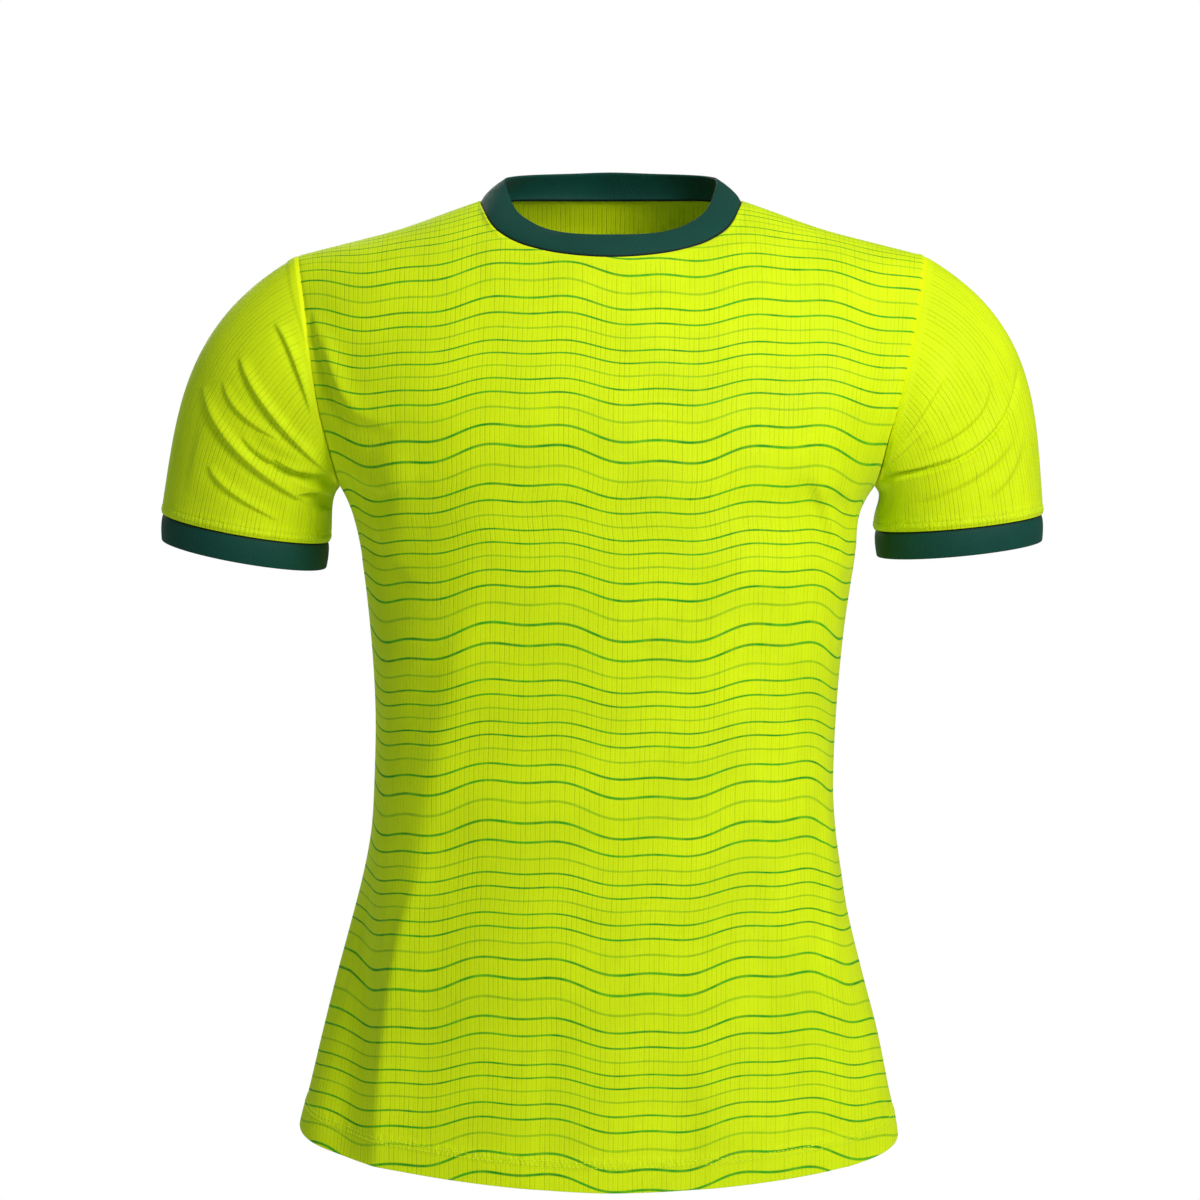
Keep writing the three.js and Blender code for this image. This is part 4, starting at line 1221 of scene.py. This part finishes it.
def cuff_piece(net, material):
    sleeve, down, rim = net["sleeve"], net["down"], net["rim"]
    radial = unit(across_only(rim - np.array(sleeve["middle"], float), down))
    hang = unit(lerp(down, (0, 0, -1), CUFF_HANG))
    seams = rim - radial * CUFF_INSET + down * SEAM_GAP
    edges = seams - radial * CUFF_TAPER + hang * CUFF_HEIGHT
    return band_object(sleeve["cuff"] + "_band", seams, edges, radial, CUFF_CROWN, material)


def dress(piece, node):
    """Fastens a piece to the part and hides the part that it replaces."""
    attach(piece, "root")
    if node:
        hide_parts(node)


def build_pieces():
    panels = {face: panel_points(face) for face in (FRONT, BACK)}
    knits = {
        "printed_knit": knit_material("printed_knit", True, BOTTOM_HEM),
        "plain_knit": knit_material("plain_knit", False, BOTTOM_HEM),
    }
    sleeve_knit = knit_material("sleeve_knit", False, SLEEVE_HEM)
    rib = band_material("rib_band")
    thread = thread_material("yellow_thread")
    nets = [panel_net(panel["node"] + "_panel", panel["face"]) for panel in PANELS]
    pieces = [
        cloth_object(net, KNIT_WALL, knits[panel["slot"]]) for net, panel in zip(nets, PANELS)
    ]
    for panel, net, piece in zip(PANELS, nets, pieces):
        node, slot, flat, area = (panel[key] for key in ("node", "slot", "flat", "area"))
        seam = stitches(node + "_hem_stitches", net, BOTTOM_STITCHES, thread)
        dress(piece, node)
        dress(seam, None)
    for sleeve in SLEEVES:
        net = sleeve_net(sleeve, panels)
        piece = cloth_object(net, KNIT_WALL, sleeve_knit)
        seam = stitches(sleeve["name"] + "_hem_stitches", net, (SLEEVE_HEM,), thread)
        dress(piece, sleeve["name"])
        dress(seam, None)
        cuff = cuff_piece(net, rib)
        dress(cuff, sleeve["cuff"])
    collar = collar_piece(rib)
    dress(collar, "collar")


# Camera, light and floor, in metres

CAMERA_DISTANCE = 2.6
CAMERA_X = -0.00792
CAMERA_Z = -0.2916
FIELD = 0.864  # what the picture spans at the middle of the part
SENSOR = 36
FLOOR_Z = -1.45  # the wearer's feet, below shoulders at standing height
FLOOR_RADIUS = 4.0
FLOOR_SIDES = 64
# Name, place, aim, size and power
LIGHTS = (
    ("key", (1.5, -2.0, 0.85), (0.05, 0, -0.25), 1.2, 56),
    ("fill", (-1.6, -2.2, 0.2), (-0.05, 0, -0.3), 1.6, 4),
    ("top", (0.1, -0.4, 1.6), (0, 0, -0.2), 1.4, 7),
    ("back", (-0.8, 2.2, 0.8), (0, 0, -0.3), 1.6, 30),
)
# Colour and strength of the room: as light, and as the camera sees it
ROOM = (((0.72, 1.0, 0.8, 1), 0.24), ((1, 1, 1, 1), 1.0))


def add_camera():
    data = bpy.data.cameras.new("camera")
    data.sensor_width = SENSOR
    data.lens = SENSOR * CAMERA_DISTANCE / FIELD
    camera = add_object("camera", data)
    camera.location = (CAMERA_X, -CAMERA_DISTANCE, CAMERA_Z)
    camera.rotation_euler = (math.pi / 2, 0, 0)
    bpy.context.scene.camera = camera


def add_light(name, place, aim, size, power):
    data = bpy.data.lights.new(name, "AREA")
    data.shape = "DISK"
    data.size = size
    data.energy = power
    light = add_object(name, data)
    light.location = place
    toward = Vector(aim) - Vector(place)
    light.rotation_mode = "QUATERNION"
    light.rotation_quaternion = toward.to_track_quat("-Z", "Y")


def add_floor():
    mesh = bpy.data.meshes.new("floor")
    turns = [2 * math.pi * k / FLOOR_SIDES for k in range(FLOOR_SIDES)]
    ring = [(FLOOR_RADIUS * math.cos(turn), FLOOR_RADIUS * math.sin(turn), FLOOR_Z) for turn in turns]
    mesh.from_pydata(ring, [], [list(range(FLOOR_SIDES))])
    n = Nodes("pale_floor")
    place = n.add("ShaderNodeTexCoord").outputs["Object"]
    color = n.mix(n.cloud("floor_tone", place), FLOOR_PALE, FLOOR_GREY)
    mesh.materials.append(n.finish("floor", color, n.grainy("floor", place)))
    add_object("floor", mesh)


def add_world():
    """White to the camera, and a dimmer pale green as light."""
    n = Nodes("studio", "worlds")
    light, seen = (n.add("ShaderNodeBackground", values).outputs[0] for values in ROOM)
    to_camera = n.add("ShaderNodeLightPath").outputs["Is Camera Ray"]
    mixed = n.add("ShaderNodeMixShader", (to_camera, light, seen)).outputs[0]
    n.add("ShaderNodeOutputWorld", (mixed,))
    bpy.context.scene.world = n.made


add_camera()
build_pieces()
for light in LIGHTS:
    add_light(*light)
add_floor()
add_world()
bpy.context.scene.view_settings.view_transform = "Standard"
